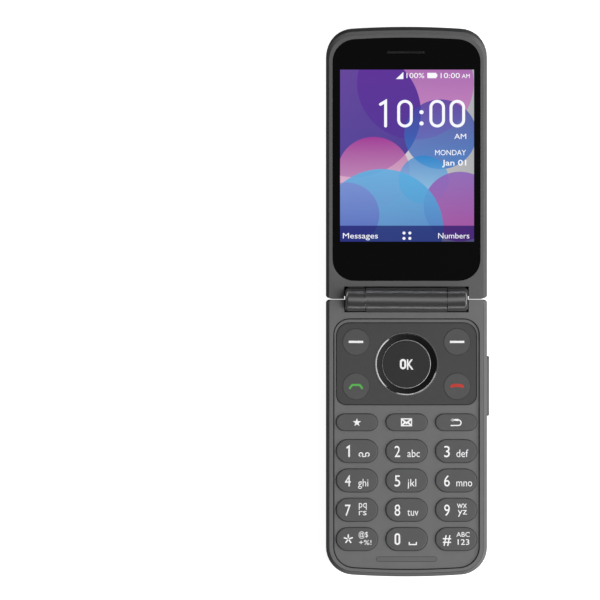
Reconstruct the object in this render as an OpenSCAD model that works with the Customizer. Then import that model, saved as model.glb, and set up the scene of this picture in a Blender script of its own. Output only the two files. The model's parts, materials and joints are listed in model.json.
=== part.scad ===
// A folding mobile phone with a keypad, shown open.
// The base lies on its back with the keypad up, and the lid is open on one barrel hinge.
// Millimetres. +Z points up out of the keypad, +Y runs from the base to the lid, +X is to the right.
// The origin is the centre of the base's back face.
// Lid pieces are drawn in the lid's own frame: y runs along the lid from the hinge axis, and z is
// the normal of the lid's inner face. on_lid() then tilts them to the open angle.

/* [Body] */
// Width of the base and the lid
body_w = 58; // [56:0.5:64]
// Length of the base from its hinge end to its far end
base_len = 99.7; // [98:0.1:112]
// Thickness of the base
base_t = 11; // [10.8:0.1:14]
// Length of the lid from its hinge end to its far end
lid_len = 100.1; // [99:0.1:112]
// Thickness of the lid
lid_t = 7.4; // [7.2:0.1:10]
// Gap between the base and the closed lid
closed_gap = 0.5; // [0.4:0.05:1]
// Tilt of the open lid out of the base's plane, in degrees
lid_tilt = 15.5; // [5:0.5:40]
// Radius of the curve across each far end
end_arc_r = 290; // [150:5:600]
// Radius of the two corners at each far end
corner_r = 10; // [6:0.5:14]
// Radius of the two corners at each hinge end
hinge_corner_r = 1.2; // [0.6:0.1:3]
// Gap from the hinge axis to the base's hinge end
base_end_gap = 0.03; // [0.02:0.01:1]
// Gap from the hinge axis to the lid's hinge end
lid_end_gap = 0.03; // [0.02:0.01:1]
// Height of the line where the base's front and rear housings meet
parting_z = 3; // [2.7:0.1:3.3]
// Small bevel on each side of a parting line
parting_bevel = 0.12; // [0.05:0.01:0.3]

/* [Shell walls and edges] */
// Wall thickness of the base and lid shells
wall = 1.6; // [1.2:0.1:1.9]
// Width of the slanted edge round the keypad face and the display face
face_edge_w = 1.1; // [0.5:0.05:1.2]
// Drop of that slanted edge
face_edge_drop = 1.45; // [0.5:0.05:1.6]
// Softening where the slanted edge meets the face and the side
face_edge_soft = 0.12; // [0.05:0.01:0.2]
// Bevel along the hinge end of each face
hinge_edge = 0.06; // [0.05:0.01:0.3]
// How far the base's back curves in from each side
back_crown_w = 6; // [3:0.5:6]
// How far the lid's back curves in from each side
lid_crown_w = 8; // [3:0.5:10]
// How far the ends of the back draw in below the parting line
end_draft = 0.2; // [0.1:0.05:0.5]
// Rounding of the ends where they meet the back
end_round = 1; // [0.5:0.1:1.5]
// Thickness of the skin under the keypad face
skin_t = 1; // [0.8:0.05:1.1]
// Thickness of the base's inner floor above the battery cover
floor_t = 1; // [0.8:0.1:1.1]

/* [Keypad face] */
// Width of the rim left round the keypad recess
recess_rim = 2.6; // [2.6:0.1:3.5]
// Depth of the keypad recess
recess_depth = 0.55; // [0.3:0.05:0.7]
// Distance from the hinge end to the keypad recess
recess_from_hinge = 6.75; // [6.6:0.05:8]
// Distance from the far end to the keypad recess
recess_from_far = 2.3; // [2:0.05:3.5]
// Corner radius of the recess near the hinge
recess_near_r = 5.8; // [3:0.1:7]
// Corner radius of the recess at the far end
recess_far_r = 7.7; // [5:0.1:9]
// Width of the shadow groove along the recess's edge
groove_w = 0.45; // [0.2:0.05:0.5]
// Depth of that groove below the recess
groove_depth = 0.35; // [0.1:0.05:0.4]
// Margin between the recess and the navigation panel
panel_margin = 1.1; // [0.8:0.1:1.5]
// Length of the navigation panel along the phone
panel_len = 29.8; // [29.4:0.1:31]
// Thickness of the navigation panel
panel_t = 0.75; // [0.65:0.05:0.85]
// How far the navigation panel stands above the recess
panel_proud = 0.2; // [0.1:0.05:0.3]
// Gap left round the navigation panel in its seat
panel_gap = 0.25; // [0.1:0.05:0.3]
// Corner radius of the navigation panel near the hinge
panel_near_r = 4.8; // [2:0.2:6]
// Corner radius of the navigation panel away from the hinge
panel_far_r = 3.6; // [2:0.2:5]
// Distance from the hinge end to the centre of the navigation ring
nav_from_hinge = 23.25; // [23:0.05:24]
// Length of the rubber pad near the far end
pad_len = 21.6; // [12:0.2:26]
// Width of that rubber pad
pad_w = 1.6; // [1.4:0.1:2.6]
// Distance from the far end to the rubber pad
pad_from_far = 6.25; // [5.8:0.05:6.6]
// Depth of the seat for the rubber pad
pad_seat = 0.4; // [0.2:0.05:0.6]
// How far the rubber pad stands above the recess
pad_proud = 0.12; // [0.05:0.01:0.3]
// Clearance round the rubber pad
pad_gap = 0.12; // [0.05:0.01:0.2]

/* [Keys] */
// Gap between two key columns
column_gap = 2.85; // [2.5:0.05:4]
// Gap from the outer key columns to the recess's side
key_side_gap = 1.05; // [0.9:0.05:2]
// Gap between two rows of number keys
row_gap = 2.2; // [1.8:0.05:3]
// Gap from the navigation panel to the function keys
panel_to_function = 3.09; // [1.5:0.01:3.5]
// Gap from the function keys to the number keys
function_to_numbers = 3.15; // [1.8:0.01:3.5]
// Gap from the number keys to the rubber pad
numbers_to_pad = 2.23; // [1.5:0.01:3]
// Width of a function key, which has round ends
function_key_w = 6.1; // [5:0.1:6.2]
// Rounding of a key's upper edge
key_edge = 0.35; // [0.1:0.05:0.5]
// Clearance round a key in its opening
key_gap = 0.15; // [0.1:0.01:0.25]
// Width of the flange that keeps a key in
flange_w = 0.6; // [0.4:0.05:0.65]
// Thickness of a key's flange
flange_t = 0.5; // [0.4:0.05:0.6]
// Travel of a key
key_travel = 0.35; // [0.2:0.05:0.35]
// Diameter of the soft keys and of the call and end keys
round_key_d = 9.5; // [8:0.1:10]
// Distance from the panel's side to the centres of the round keys
round_key_from_side = 7.1; // [6.8:0.1:7.4]
// Clearance round a round key, which is a closer fit
round_key_gap = 0.08; // [0.06:0.01:0.2]
// How far a round key stands above the navigation panel
round_key_proud = 0.02; // [0.02:0.01:0.2]
// Rounding of a round key's upper edge
round_key_edge = 0.1; // [0.05:0.05:0.35]
// Distance of the round keys up or down from the ring's centre
round_key_y = 8; // [7.7:0.1:8.2]
// Outer diameter of the navigation ring
ring_d = 22.3; // [21:0.1:22.6]
// Diameter of the centre key inside the ring
ok_d = 17.4; // [16:0.1:17.6]
// Gap between the centre key and the ring
ok_gap = 0.2; // [0.15:0.01:0.3]
// How far the ring's top lies below the base's top
ring_below_top = 0.1; // [0.05:0.01:0.3]
// Width of the ring's slanted lip
ring_lip = 0.42; // [0.3:0.02:0.6]
// Drop of that lip
ring_lip_drop = 0.3; // [0.2:0.02:0.4]
// How far the ring's inner edge lies below its outer edge
ring_dish = 0.68; // [0.5:0.02:0.9]
// Height left free round the ring's flange for its tilt
ring_float = 0.6; // [0.55:0.01:0.65]
// Length of the volume key
volume_len = 21.5; // [16:0.5:22]
// Height of the volume key
volume_h = 3; // [2.4:0.1:3.2]
// How far the volume key stands out of the side
volume_proud = 0.8; // [0.4:0.05:1]
// Distance from the hinge end to the volume key's centre
volume_from_hinge = 31.1; // [30:0.1:33]
// Height of the volume key's centre above the back
volume_z = 6.6; // [6.2:0.1:7]

/* [Inside the base] */
// Thickness of a printed circuit board
board_t = 0.8; // [0.6:0.1:0.9]
// Height of the dome sheet with its domes
dome_t = 0.3; // [0.2:0.02:0.32]
// Thickness of the dome sheet's film
film_t = 0.1; // [0.05:0.01:0.15]
// Thickness of the rubber keypad mat
mat_t = 0.45; // [0.3:0.05:0.5]
// Distance from the base's side to the battery
battery_from_side = 8; // [7.8:0.1:11]
// Distance from the battery to the card socket
battery_to_card = 4.25; // [3.8:0.05:12]
// Thickness of the battery
battery_t = 4.5; // [3.8:0.1:4.6]
// Distance from the far end to the battery
battery_from_far = 10.75; // [10.6:0.05:12]
// Clearance round the battery
battery_gap = 0.15; // [0.1:0.01:0.3]
// Wall round the battery bay
bay_wall = 1.2; // [0.8:0.1:1.4]
// Width of the data and charging socket
usb_w = 8.94; // [8.34:0.02:9.1]
// Height of that socket
usb_h = 3.26; // [2.6:0.02:3.3]
// Length of that socket
usb_len = 7.35; // [6:0.05:7.4]
// Radius of a housing screw's thread
screw_r = 0.8; // [0.6:0.05:0.9]
// Radius of a housing screw's head
screw_head_r = 1.6; // [1.3:0.1:1.7]
// Height of a screw head
screw_head_t = 0.75; // [0.5:0.05:0.8]
// Length of a screw's thread
screw_len = 5; // [3:0.1:5.5]
// Outer radius of a screw boss
boss_r = 2.2; // [1.8:0.1:2.3]
// Distance from the base's side to the screws
screw_from_side = 9.2; // [8.8:0.1:10]
// Distance from the hinge end to the upper screws
upper_screw_from_hinge = 23; // [22.9:0.1:23.2]
// Distance from the far end to the lower screws
lower_screw_from_far = 5.6; // [5.4:0.1:5.8]
// Width of the card socket
sim_w = 16; // [14:0.5:17]
// Length of the card socket
sim_len = 14; // [12:0.5:15]
// Height of the card socket
sim_t = 2; // [1.4:0.1:2.2]
// Distance from the hinge end to the card socket's centre
sim_from_hinge = 24.5; // [24:0.1:25]
// Length of the loudspeaker across the phone
speaker_len = 15; // [12:0.5:16]
// Width of the loudspeaker
speaker_w = 9; // [7:0.5:9.2]
// Height of the loudspeaker
speaker_t = 3.5; // [2.5:0.1:3.8]
// Radius of the vibration motor
motor_r = 4; // [3:0.1:4.2]
// Height of the vibration motor
motor_t = 2.7; // [2:0.1:3]
// Sideways distance of the vibration motor from the middle
motor_x = 14.5; // [13:0.5:16]

/* [Battery cover] */
// Distance from the base's side to the battery cover
cover_from_side = 6.4; // [6.2:0.1:7.2]
// Thickness of the battery cover
cover_t = 1.2; // [1.1:0.05:1.3]
// Distance from the hinge end to the battery cover
cover_from_hinge = 13.75; // [12.5:0.25:15]
// Gap along the cover's edges
cover_gap = 0.1; // [0.08:0.01:0.2]
// Length of each hook on the cover's edge
hook_len = 6; // [4:0.5:6.5]
// How far each hook reaches under the housing
hook_reach = 1.1; // [0.8:0.1:1.2]
// Thickness of a hook
hook_t = 0.4; // [0.3:0.05:0.45]
// Slide that frees the hooks
cover_travel = 8; // [7.6:0.1:9]
// Distance from the cover's inner end to the first pair of hooks
hook_from_near = 5; // [4:0.5:8]
// Distance from the base's far end to the last pair of hooks
hook_from_far = 22.75; // [20:0.25:26]
// Length of the thumb grip's ridges
grip_len = 16; // [10:0.5:20]
// Distance from one ridge to the next
grip_pitch = 1.6; // [1.4:0.1:2]
// Distance from the far end to the first ridge
grip_from_far = 9; // [7:0.5:12]

/* [Hinge] */
// Radius of the lid's two end knuckles
knuckle_r = 4.25; // [4.1:0.05:4.4]
// Radius of the base's middle knuckle
middle_knuckle_r = 4.4; // [4.1:0.05:4.5]
// Rounding of the barrel's two ends
knuckle_round = 1.2; // [0.3:0.1:1.5]
// Half the length of the whole barrel
barrel_half = 22.1; // [21:0.1:23]
// Distance of each knuckle seam from the middle
seam_x = 14.7; // [13.5:0.1:15]
// Gap between two knuckles
seam_gap = 0.2; // [0.1:0.02:0.3]
// Clearance round the lid's knuckles in the base
base_pocket_gap = 0.4; // [0.3:0.05:0.5]
// Clearance round the middle knuckle in the lid
lid_pocket_gap = 0.4; // [0.3:0.05:0.5]
// Clearance at the ends of the barrel
barrel_end_gap = 0.3; // [0.2:0.05:0.5]
// Wall behind each barrel pocket
pocket_wall = 1; // [0.8:0.1:1.1]
// Radius of the hinge cartridge and of the pivot sleeve
cartridge_r = 3; // [2.6:0.05:3.1]
// Radial clearance of the cartridge, the sleeve and the shaft
running_gap = 0.05; // [0.03:0.01:0.08]
// Radius of the hinge shaft inside the cartridge
shaft_r = 1.9; // [1.4:0.05:2]
// Inner radius of the pivot sleeve
sleeve_bore_r = 2.2; // [2:0.05:2.3]
// Radius of the rolled flex circuit
flex_roll_r = 1.5; // [1:0.05:1.6]
// Thickness of the flex circuit where it lies flat
flex_t = 0.2; // [0.15:0.01:0.3]
// Width of the flex circuit
flex_w = 2.3; // [1.5:0.1:2.4]
// Thickness of each outer knuckle's closed end
knuckle_cap = 1.5; // [1:0.1:1.8]

/* [Lid, inner side] */
// Thickness of the lid's inner frame
frame_t = 2.95; // [2.8:0.05:3.2]
// Width of the frame's rim round the glass
glass_rim = 2.35; // [2.2:0.05:2.6]
// Thickness of the main glass
glass_t = 0.9; // [0.6:0.05:1]
// How far the glass lies below the frame's rim
glass_below = 0.1; // [0.05:0.01:0.2]
// Distance from the hinge axis to the glass
glass_start = 6.83; // [6.6:0.01:7.5]
// Corner radius of the glass near the hinge
glass_near_r = 8; // [5:0.5:10]
// Corner radius of the glass at the far end
glass_far_r = 8.4; // [5:0.2:9]
// Distance from the lid's side to the main display module
display_from_side = 3.4; // [3.2:0.1:4.5]
// Distance from the main display module to the earpiece
display_to_earpiece = 1.4; // [1:0.05:4]
// Thickness of the main display module
display_t = 1.7; // [1.2:0.05:1.75]
// Distance from the hinge axis to the main display module
display_start = 17.8; // [17.2:0.1:18]
// Distance from the far end to the earpiece slot
earpiece_from_far = 8.05; // [7.9:0.05:8.3]
// Length of the earpiece slot
earpiece_slot_len = 14.3; // [10:0.1:15]
// Width of the earpiece slot
earpiece_slot_w = 1.1; // [0.8:0.05:1.4]
// Length of the earpiece
earpiece_len = 15; // [12:0.5:16]
// Width of the earpiece
earpiece_w = 6; // [5:0.1:6.1]
// Radius of the hall magnet
magnet_r = 2; // [1.5:0.1:2.2]
// Height of the hall magnet
magnet_t = 1.4; // [1:0.1:1.5]
// Radius of the small microphone hole in the lid's far end
pinhole_r = 0.4; // [0.3:0.05:0.5]
// Sideways place of that hole
pinhole_x = 15; // [10:0.5:18]

/* [Lid, outer side] */
// Thickness of the outer cover over the lid's cavity
cover_skin = 1.3; // [1.2:0.05:1.5]
// Side wall of the outer cover at its cavity
cover_side_wall = 3.8; // [3.6:0.1:4.4]
// Width of the capsule trim round the camera and the quick-dial key
trim_w = 11.7; // [11.5:0.1:12.4]
// Length of the capsule trim
trim_len = 23.8; // [23.6:0.1:24.6]
// Distance from the hinge axis to the capsule trim's centre
trim_y = 15.65; // [15.5:0.05:15.8]
// How far the trim stands out of the cover
trim_proud = 0.25; // [0.1:0.05:0.4]
// Width of the trim's flange inside the cover
trim_flange_w = 0.6; // [0.4:0.05:0.7]
// Thickness of the trim's flange
trim_flange_t = 0.55; // [0.4:0.05:0.6]
// Diameter of the camera's cover lens
lens_d = 9.8; // [8.5:0.1:10]
// Thickness of the camera's cover lens
lens_t = 0.8; // [0.6:0.05:1]
// How far the lens stands out of the trim
lens_proud = 0.2; // [0.05:0.05:0.3]
// Distance from the capsule's centre to the camera, and to the quick-dial key on the other side
trim_pitch = 5.85; // [5.7:0.05:6]
// Width of the square camera module
camera_w = 8; // [7:0.1:8.2]
// Radius of the camera module's lens barrel
camera_barrel_r = 2.9; // [2.2:0.1:3]
// Diameter of the quick-dial key
dial_d = 10.1; // [9.4:0.05:10.2]
// How far the quick-dial key stands out of the trim
dial_proud = 0.25; // [0.1:0.05:0.5]
// Travel of the quick-dial key
dial_travel = 0.4; // [0.3:0.05:0.4]
// Sideways distance of the flash from the middle
flash_x = 10.3; // [10:0.1:12]
// Width of the flash lens
flash_w = 2.7; // [2:0.1:3]
// Length of the flash lens
flash_len = 4.5; // [3:0.1:5]
// Width of the outer window
window_w = 35.6; // [34:0.1:40]
// Length of the outer window
window_len = 49.2; // [46:0.1:52]
// Distance from the hinge axis to the outer window
window_start = 30.65; // [30.2:0.05:32]
// Corner radius of the outer window
window_r = 3.7; // [2:0.1:6]
// Thickness of the outer window
window_t = 0.9; // [0.6:0.05:0.95]
// Width of the outer display module
outer_display_w = 31; // [29:0.1:31.5]
// Length of the outer display module
outer_display_len = 39; // [37:0.1:40]
// Thickness of the outer display module
outer_display_t = 1.5; // [1.2:0.05:1.6]
// Distance from the hinge axis to the outer display's centre
outer_display_y = 55.5; // [54.5:0.1:56.5]
// Length of the lid's circuit board
lid_board_len = 22.5; // [22:0.1:23]

/* [Hidden] */
$fn = 48;

// colours as the photograph shows them
graphite = "#626263";
cover_grey = "#47494b";
panel_grey = "#4b4b4b";
key_grey = "#535353";
gloss_black = "#101011";
board_green = "#1d5a3c";
steel = "#a9abad";
rubber_grey = "#5f5f60";

// outline steps and layer film
near_steps = 8;
far_steps = 10;
arc_steps = 8;
film = 0.02;
crown_steps = 7;
round_steps = 4;
cap_steps = 16;
over = 1;          // how far a cutting tool passes its face
touch = 0.05;      // gap between pieces that lie on each other
same_point = 0.001; // two outline points closer than this are one
half_w = body_w / 2;

// base, along Y and Z
base_near = base_len / 2;
base_far = -base_len / 2;
hinge_y = base_near + base_end_gap;
hinge_z = base_t + closed_gap / 2;
recess_z = base_t - recess_depth;
skin_z = recess_z - skin_t;
recess_hw = half_w - recess_rim;
recess_near = base_near - recess_from_hinge;
recess_far = base_far + recess_from_far;
panel_hw = recess_hw - panel_margin;
panel_near = recess_near - panel_margin - 0.4;
panel_far = panel_near - panel_len;
panel_z = recess_z + panel_proud;
straight_r = 4000; // arc radius that reads as a straight edge
cavity_hw = half_w - wall;
cavity_far_r = corner_r - wall;

// keys, from the top down
flange_z = skin_z - touch - flange_t;
mat_top = flange_z - key_travel - touch;
mat_z = mat_top - mat_t;
dome_z = mat_z - touch - dome_t;
board_z = dome_z - board_t;
nav_y = base_near - nav_from_hinge;
function_y = panel_far - panel_to_function - function_key_w / 2;
pad_y = base_far + pad_from_far;
numbers_top = function_y - function_key_w / 2 - function_to_numbers;
numbers_low = pad_y + pad_w / 2 + numbers_to_pad;
key_w = (numbers_top - numbers_low - 3 * row_gap) / 4; // width of a number key, which has round ends
row_pitch = key_w + row_gap;
first_row_y = numbers_top - key_w / 2;
key_len = (2 * (recess_hw - key_side_gap) - 2 * column_gap) / 3;
column_pitch = key_len + column_gap;
round_key_x = panel_hw - round_key_from_side;
sheet_low = numbers_low - 1.1; // far end of the mat and the dome sheet
nav_hole_r = ring_d / 2 + 0.25;
ring_flange_r = ring_d / 2 + 1.05;
ring_flange_top = skin_z - ring_float;
ring_flange_z = ring_flange_top - 0.4;
ring_low_r = ok_d / 2 + 0.1;
ring_top = base_t - ring_below_top;
ok_top = ring_top - 0.05;
ok_z = skin_z - 0.15;
carrier_r = ring_low_r - 0.35;
carrier_w = 1.8;
carrier_z = dome_z + dome_t + 0.15;
carrier_t = 0.45;
nav_dome_r = 1.4;
nav_dome_at = 10;
dome_r = 2;
key_domes = concat(
  [for (c = [-1:1]) [c * column_pitch, function_y]],
  [for (c = [-1:1], r = [0:3]) [c * column_pitch, first_row_y - r * row_pitch]],
  [for (sx = [-1, 1], sy = [-1, 1]) [sx * round_key_x, nav_y + sy * round_key_y]],
  [[0, nav_y]]);
screw_x = half_w - screw_from_side;
screw_places = [for (sx = [-1, 1]) for (y = [base_near - upper_screw_from_hinge,
  base_far + lower_screw_from_far]) [sx * screw_x, y]];

// battery bay and what sits in the rear housing
channel_z = cover_t + touch;
cavity_floor = channel_z + floor_t;
battery_z = cover_t + 0.3;
battery_far = base_far + battery_from_far;
battery_w = 2 * (half_w - battery_from_side);
sim_y = base_near - sim_from_hinge;
battery_near = sim_y - sim_len / 2 - battery_to_card;
bay_top = board_z - touch;
speaker_y = base_near - 2.4 - speaker_w / 2;
speaker_x = -14;
speaker_z = 0.9;
contact_hw = 5;    // half width of the battery's spring contacts
mic_x = 11;        // sideways place of the microphone
mic_len = 2.8;
mic_hw = 1.7;
motor_y = base_near - 7.5;
grille_slots = 7;
grille_pitch = 1.7;
can_in = sim_w / 2 + 1.2;
can_out = screw_x - boss_r - 0.6;
can_t = 1.7;       // height of the shield cans under the board
can_near = sim_y + sim_len / 2 + 2;
can_len = 13.5;
screw_land = cavity_floor + 0.8;
screw_z = channel_z + touch;
volume_y = base_near - volume_from_hinge;
volume_key_in = half_w - wall - 0.15;
switch_x = volume_key_in - 1.9;
board_hw = switch_x - touch;
cover_near = base_near - cover_from_hinge;
cover_hw = half_w - cover_from_side;
hook_reach_y = cover_near - hook_from_near - base_far - hook_from_far;
hook_y = [for (k = [0:2]) cover_near - hook_from_near - k * hook_reach_y / 2];
hook_z = cover_t - hook_t;

// hinge
base_pocket_r = knuckle_r + base_pocket_gap;
lid_pocket_r = middle_knuckle_r + lid_pocket_gap;
pocket_half = barrel_half + barrel_end_gap;
middle_half = seam_x - seam_gap / 2;
crease_depth = 1.9;
pocket_reach = 8;  // how far the wall behind the barrel's pocket may run into the shell
socket_end = barrel_half - knuckle_cap;
sleeve_in = -9;
sleeve_out = -seam_x - 2.8;
flex_in = -8;
flex_slope = 31; // direction of the base's flex slot below the level, in degrees
base_flex_reach = 7;
lid_flex_x = sleeve_out - 0.3 - flex_w;
key_rib = 1.2;
shaft_end = seam_x + 5.6;
shaft_head_r = cartridge_r - 0.1;
key_rib_top = 3.45; // how far the rib that turns the shaft with the lid stands out

// lid, in its own frame
face_z = -closed_gap / 2;
back_z = face_z - lid_t;
split_z = face_z - frame_t;
lid_start = lid_end_gap;
lid_end = lid_start + lid_len;
glass_hw = half_w - glass_rim;
glass_end = lid_end - glass_rim;
glass_top = face_z - glass_below;
glass_seat = glass_top - glass_t;
earpiece_y = lid_end - earpiece_from_far;
display_w = 2 * (half_w - display_from_side);
display_len = earpiece_y - earpiece_w / 2 - display_to_earpiece - display_start;
inner_z = back_z + cover_skin;
trim_z = back_z - trim_proud;
trim_inner_z = inner_z + trim_flange_t;
camera_y = trim_y - trim_pitch;
dial_y = trim_y + trim_pitch;
dial_flange_z = trim_inner_z + touch;
dial_flange_t = 0.5;
lid_board_top = split_z - 0.25;
lid_board_z = lid_board_top - board_t;
lid_board_start = lid_pocket_r + pocket_wall + 0.2;
window_end = window_start + window_len;
trim_gap = 0.1;
magnet_x = half_w - 11;
camera_barrel_gap = 0.1;

// ---------- shared shapes ----------

// Outline of a shell: square hinge end at y0, curved far end at y1
function outline(hw, y0, y1, far_r, near_r, arc_r) =
  let (way = y1 > y0 ? 1 : -1,
       reach = abs(y1 - y0),
       span = asin((hw - far_r) / (arc_r - far_r)),
       corner_y = reach - arc_r + sqrt(pow(arc_r - far_r, 2) - pow(hw - far_r, 2)),
       right = concat(
         [for (i = [0:near_steps]) let (t = -90 + 90 * i / near_steps)
           [hw - near_r + near_r * cos(t), near_r + near_r * sin(t)]],
         [for (i = [0:far_steps]) let (t = (90 - span) * i / far_steps)
           [hw - far_r + far_r * cos(t), corner_y + far_r * sin(t)]],
         [for (i = [1:arc_steps]) let (t = span * (1 - i / arc_steps))
           [arc_r * sin(t), reach - arc_r + arc_r * cos(t)]]),
       left = [for (i = [len(right) - 2:-1:0]) [-right[i][0], right[i][1]]])
  [for (p = concat(right, left)) [p[0], y0 + way * p[1]]];

module plan(hw, y0, y1, far_r, near_r, arc_r = end_arc_r)
  polygon(outline(hw, y0, y1, far_r, near_r, arc_r));

// The part of an outline that lies within a strip of half width side
function clipped(points, side) =
  [for (i = [0:len(points) - 1])
    let (a = points[i], b = points[(i + 1) % len(points)], run = b[0] - a[0])
    each concat(abs(a[0]) <= side + same_point ? [a] : [],
      [for (x = (run > 0 ? [-side, side] : [side, -side]))
        if (abs(run) > same_point && (x - a[0]) / run > same_point && (x - a[0]) / run < 1 - same_point)
          [x, a[1] + (b[1] - a[1]) * (x - a[0]) / run]])];

// A shell's outer form, stretched over outlines: rows hold [side inset, end inset, low z, high z].
// The inset at the hinge end stops at near_inset.
module stacked(rows, y0, y1, near_inset = end_draft + end_round) {
  way = y1 > y0 ? 1 : -1;
  hull() for (r = rows)
    translate([0, 0, r[2]]) linear_extrude(r[3] - r[2])
      polygon(clipped(outline(half_w - r[1], y0 + way * min(r[1], near_inset), y1 - way * r[1],
        corner_r - r[1], hinge_corner_r, end_arc_r), half_w - r[0]));
}

// Rows for a slanted face edge, from the parting line at z0 up to the face at z1
function face_rows(z0, z1) = concat(
  [[parting_bevel, parting_bevel, z0, z0 + film],
   [0, 0, z0 + parting_bevel, z1 - face_edge_drop - face_edge_soft]],
  [for (p = [[face_edge_soft * 0.35, face_edge_drop], [face_edge_w, face_edge_soft * 0.35],
             [face_edge_w + face_edge_soft, 0]])
    [p[0], p[0], z1 - p[1] - film, z1 - p[1]]]);

// Rows for a back that curves in from both sides, from the parting line at z0 down to the back at z1
function back_rows(z0, z1, crown) = concat(
  [[parting_bevel, parting_bevel, z0 - film, z0]],
  [for (k = [0:crown_steps])
    let (a = 90 * k / crown_steps,
         z = z0 - parting_bevel - (z0 - parting_bevel - z1) * sin(a),
         rise = max(end_round - (z - z1), 0),
         end_in = end_draft * pow(sin(a), 2) + end_round - sqrt(pow(end_round, 2) - pow(rise, 2)))
    [max(crown * (1 - cos(a)), end_in), end_in, z, z + film]]);

module stadium(length, width) {
  square([length - width, width], center = true);
  for (s = [-1, 1]) translate([s * (length - width) / 2, 0]) circle(d = width);
}

// The same outline as one polygon, for a key's soft cap
module stadium_cap(length, width) {
  r = width / 2;
  polygon([for (s = [-1, 1]) for (k = [0:cap_steps])
    [s * (length / 2 - r) + s * r * sin(180 * k / cap_steps), s * r * cos(180 * k / cap_steps)]]);
}

module rounded_rect(size, r) {
  square([size[0] - 2 * r, size[1]], center = true);
  square([size[0], size[1] - 2 * r], center = true);
  for (sx = [-1, 1], sy = [-1, 1])
    translate([sx * (size[0] / 2 - r), sy * (size[1] / 2 - r)]) circle(r = r);
}

// A box given by its two corners
module block(low, high) translate(low) cube(high - low);

module on_lid() translate([0, hinge_y, hinge_z]) rotate([lid_tilt, 0, 0]) children();
module at_hinge() translate([0, hinge_y, hinge_z]) children();

// A round bar along X between two places
module bar(x0, x1, r) translate([x0, 0, 0]) rotate([0, 90, 0]) cylinder(h = x1 - x0, r = r);

// A soft-edged cap with round ends: rows hold [inset, low z, high z]
module cap(rows, length, width)
  hull() for (r = rows)
    translate([0, 0, r[1]]) linear_extrude(r[2] - r[1])
      stadium_cap(length - 2 * r[0], width - 2 * r[0]);

// A key with round ends: a flange under the skin and a cap with a soft upper edge
module pill_key(length, width) {
  translate([0, 0, flange_z]) linear_extrude(flange_t)
    stadium(length + 2 * flange_w, width + 2 * flange_w);
  cap([[0, flange_z + flange_t - film, base_t - key_edge],
    [key_edge * 0.3, base_t - key_edge * 0.3 - film, base_t - key_edge * 0.3],
    [key_edge, base_t - film, base_t]], length, width);
}

// A round key turned from one profile
module round_key(d, top) {
  r = d / 2;
  rotate_extrude() polygon([[0, flange_z], [r + flange_w, flange_z],
    [r + flange_w, flange_z + flange_t], [r, flange_z + flange_t], [r, top - round_key_edge],
    [r - round_key_edge, top], [0, top]]);
}

module number_key(column, row)
  color(key_grey) translate([column * column_pitch, first_row_y - row * row_pitch, 0])
    pill_key(key_len, key_w);

module function_key(column)
  color(key_grey) translate([column * column_pitch, function_y, 0])
    pill_key(key_len, function_key_w);

module side_round_key(side, up)
  color(key_grey) translate([side * round_key_x, nav_y + up * round_key_y, 0])
    round_key(round_key_d, panel_z + round_key_proud);

// Openings for the number and function keys
module key_openings(z0, z1) {
  translate([0, 0, z0]) linear_extrude(z1 - z0) for (c = [-1:1]) {
    translate([c * column_pitch, function_y])
      stadium(key_len + 2 * key_gap, function_key_w + 2 * key_gap);
    for (r = [0:3]) translate([c * column_pitch, first_row_y - r * row_pitch])
      stadium(key_len + 2 * key_gap, key_w + 2 * key_gap);
  }
}

// Openings for the round keys and the navigation ring
module nav_openings(z0, z1) {
  for (sx = [-1, 1], sy = [-1, 1]) translate([sx * round_key_x, nav_y + sy * round_key_y, z0])
    cylinder(h = z1 - z0, d = round_key_d + 2 * round_key_gap);
  translate([0, nav_y, z0]) cylinder(h = z1 - z0, r = nav_hole_r);
}

module screw_holes(z0, z1, r)
  for (p = screw_places) translate([p[0], p[1], z0]) cylinder(h = z1 - z0, r = r);

// ---------- base ----------

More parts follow.
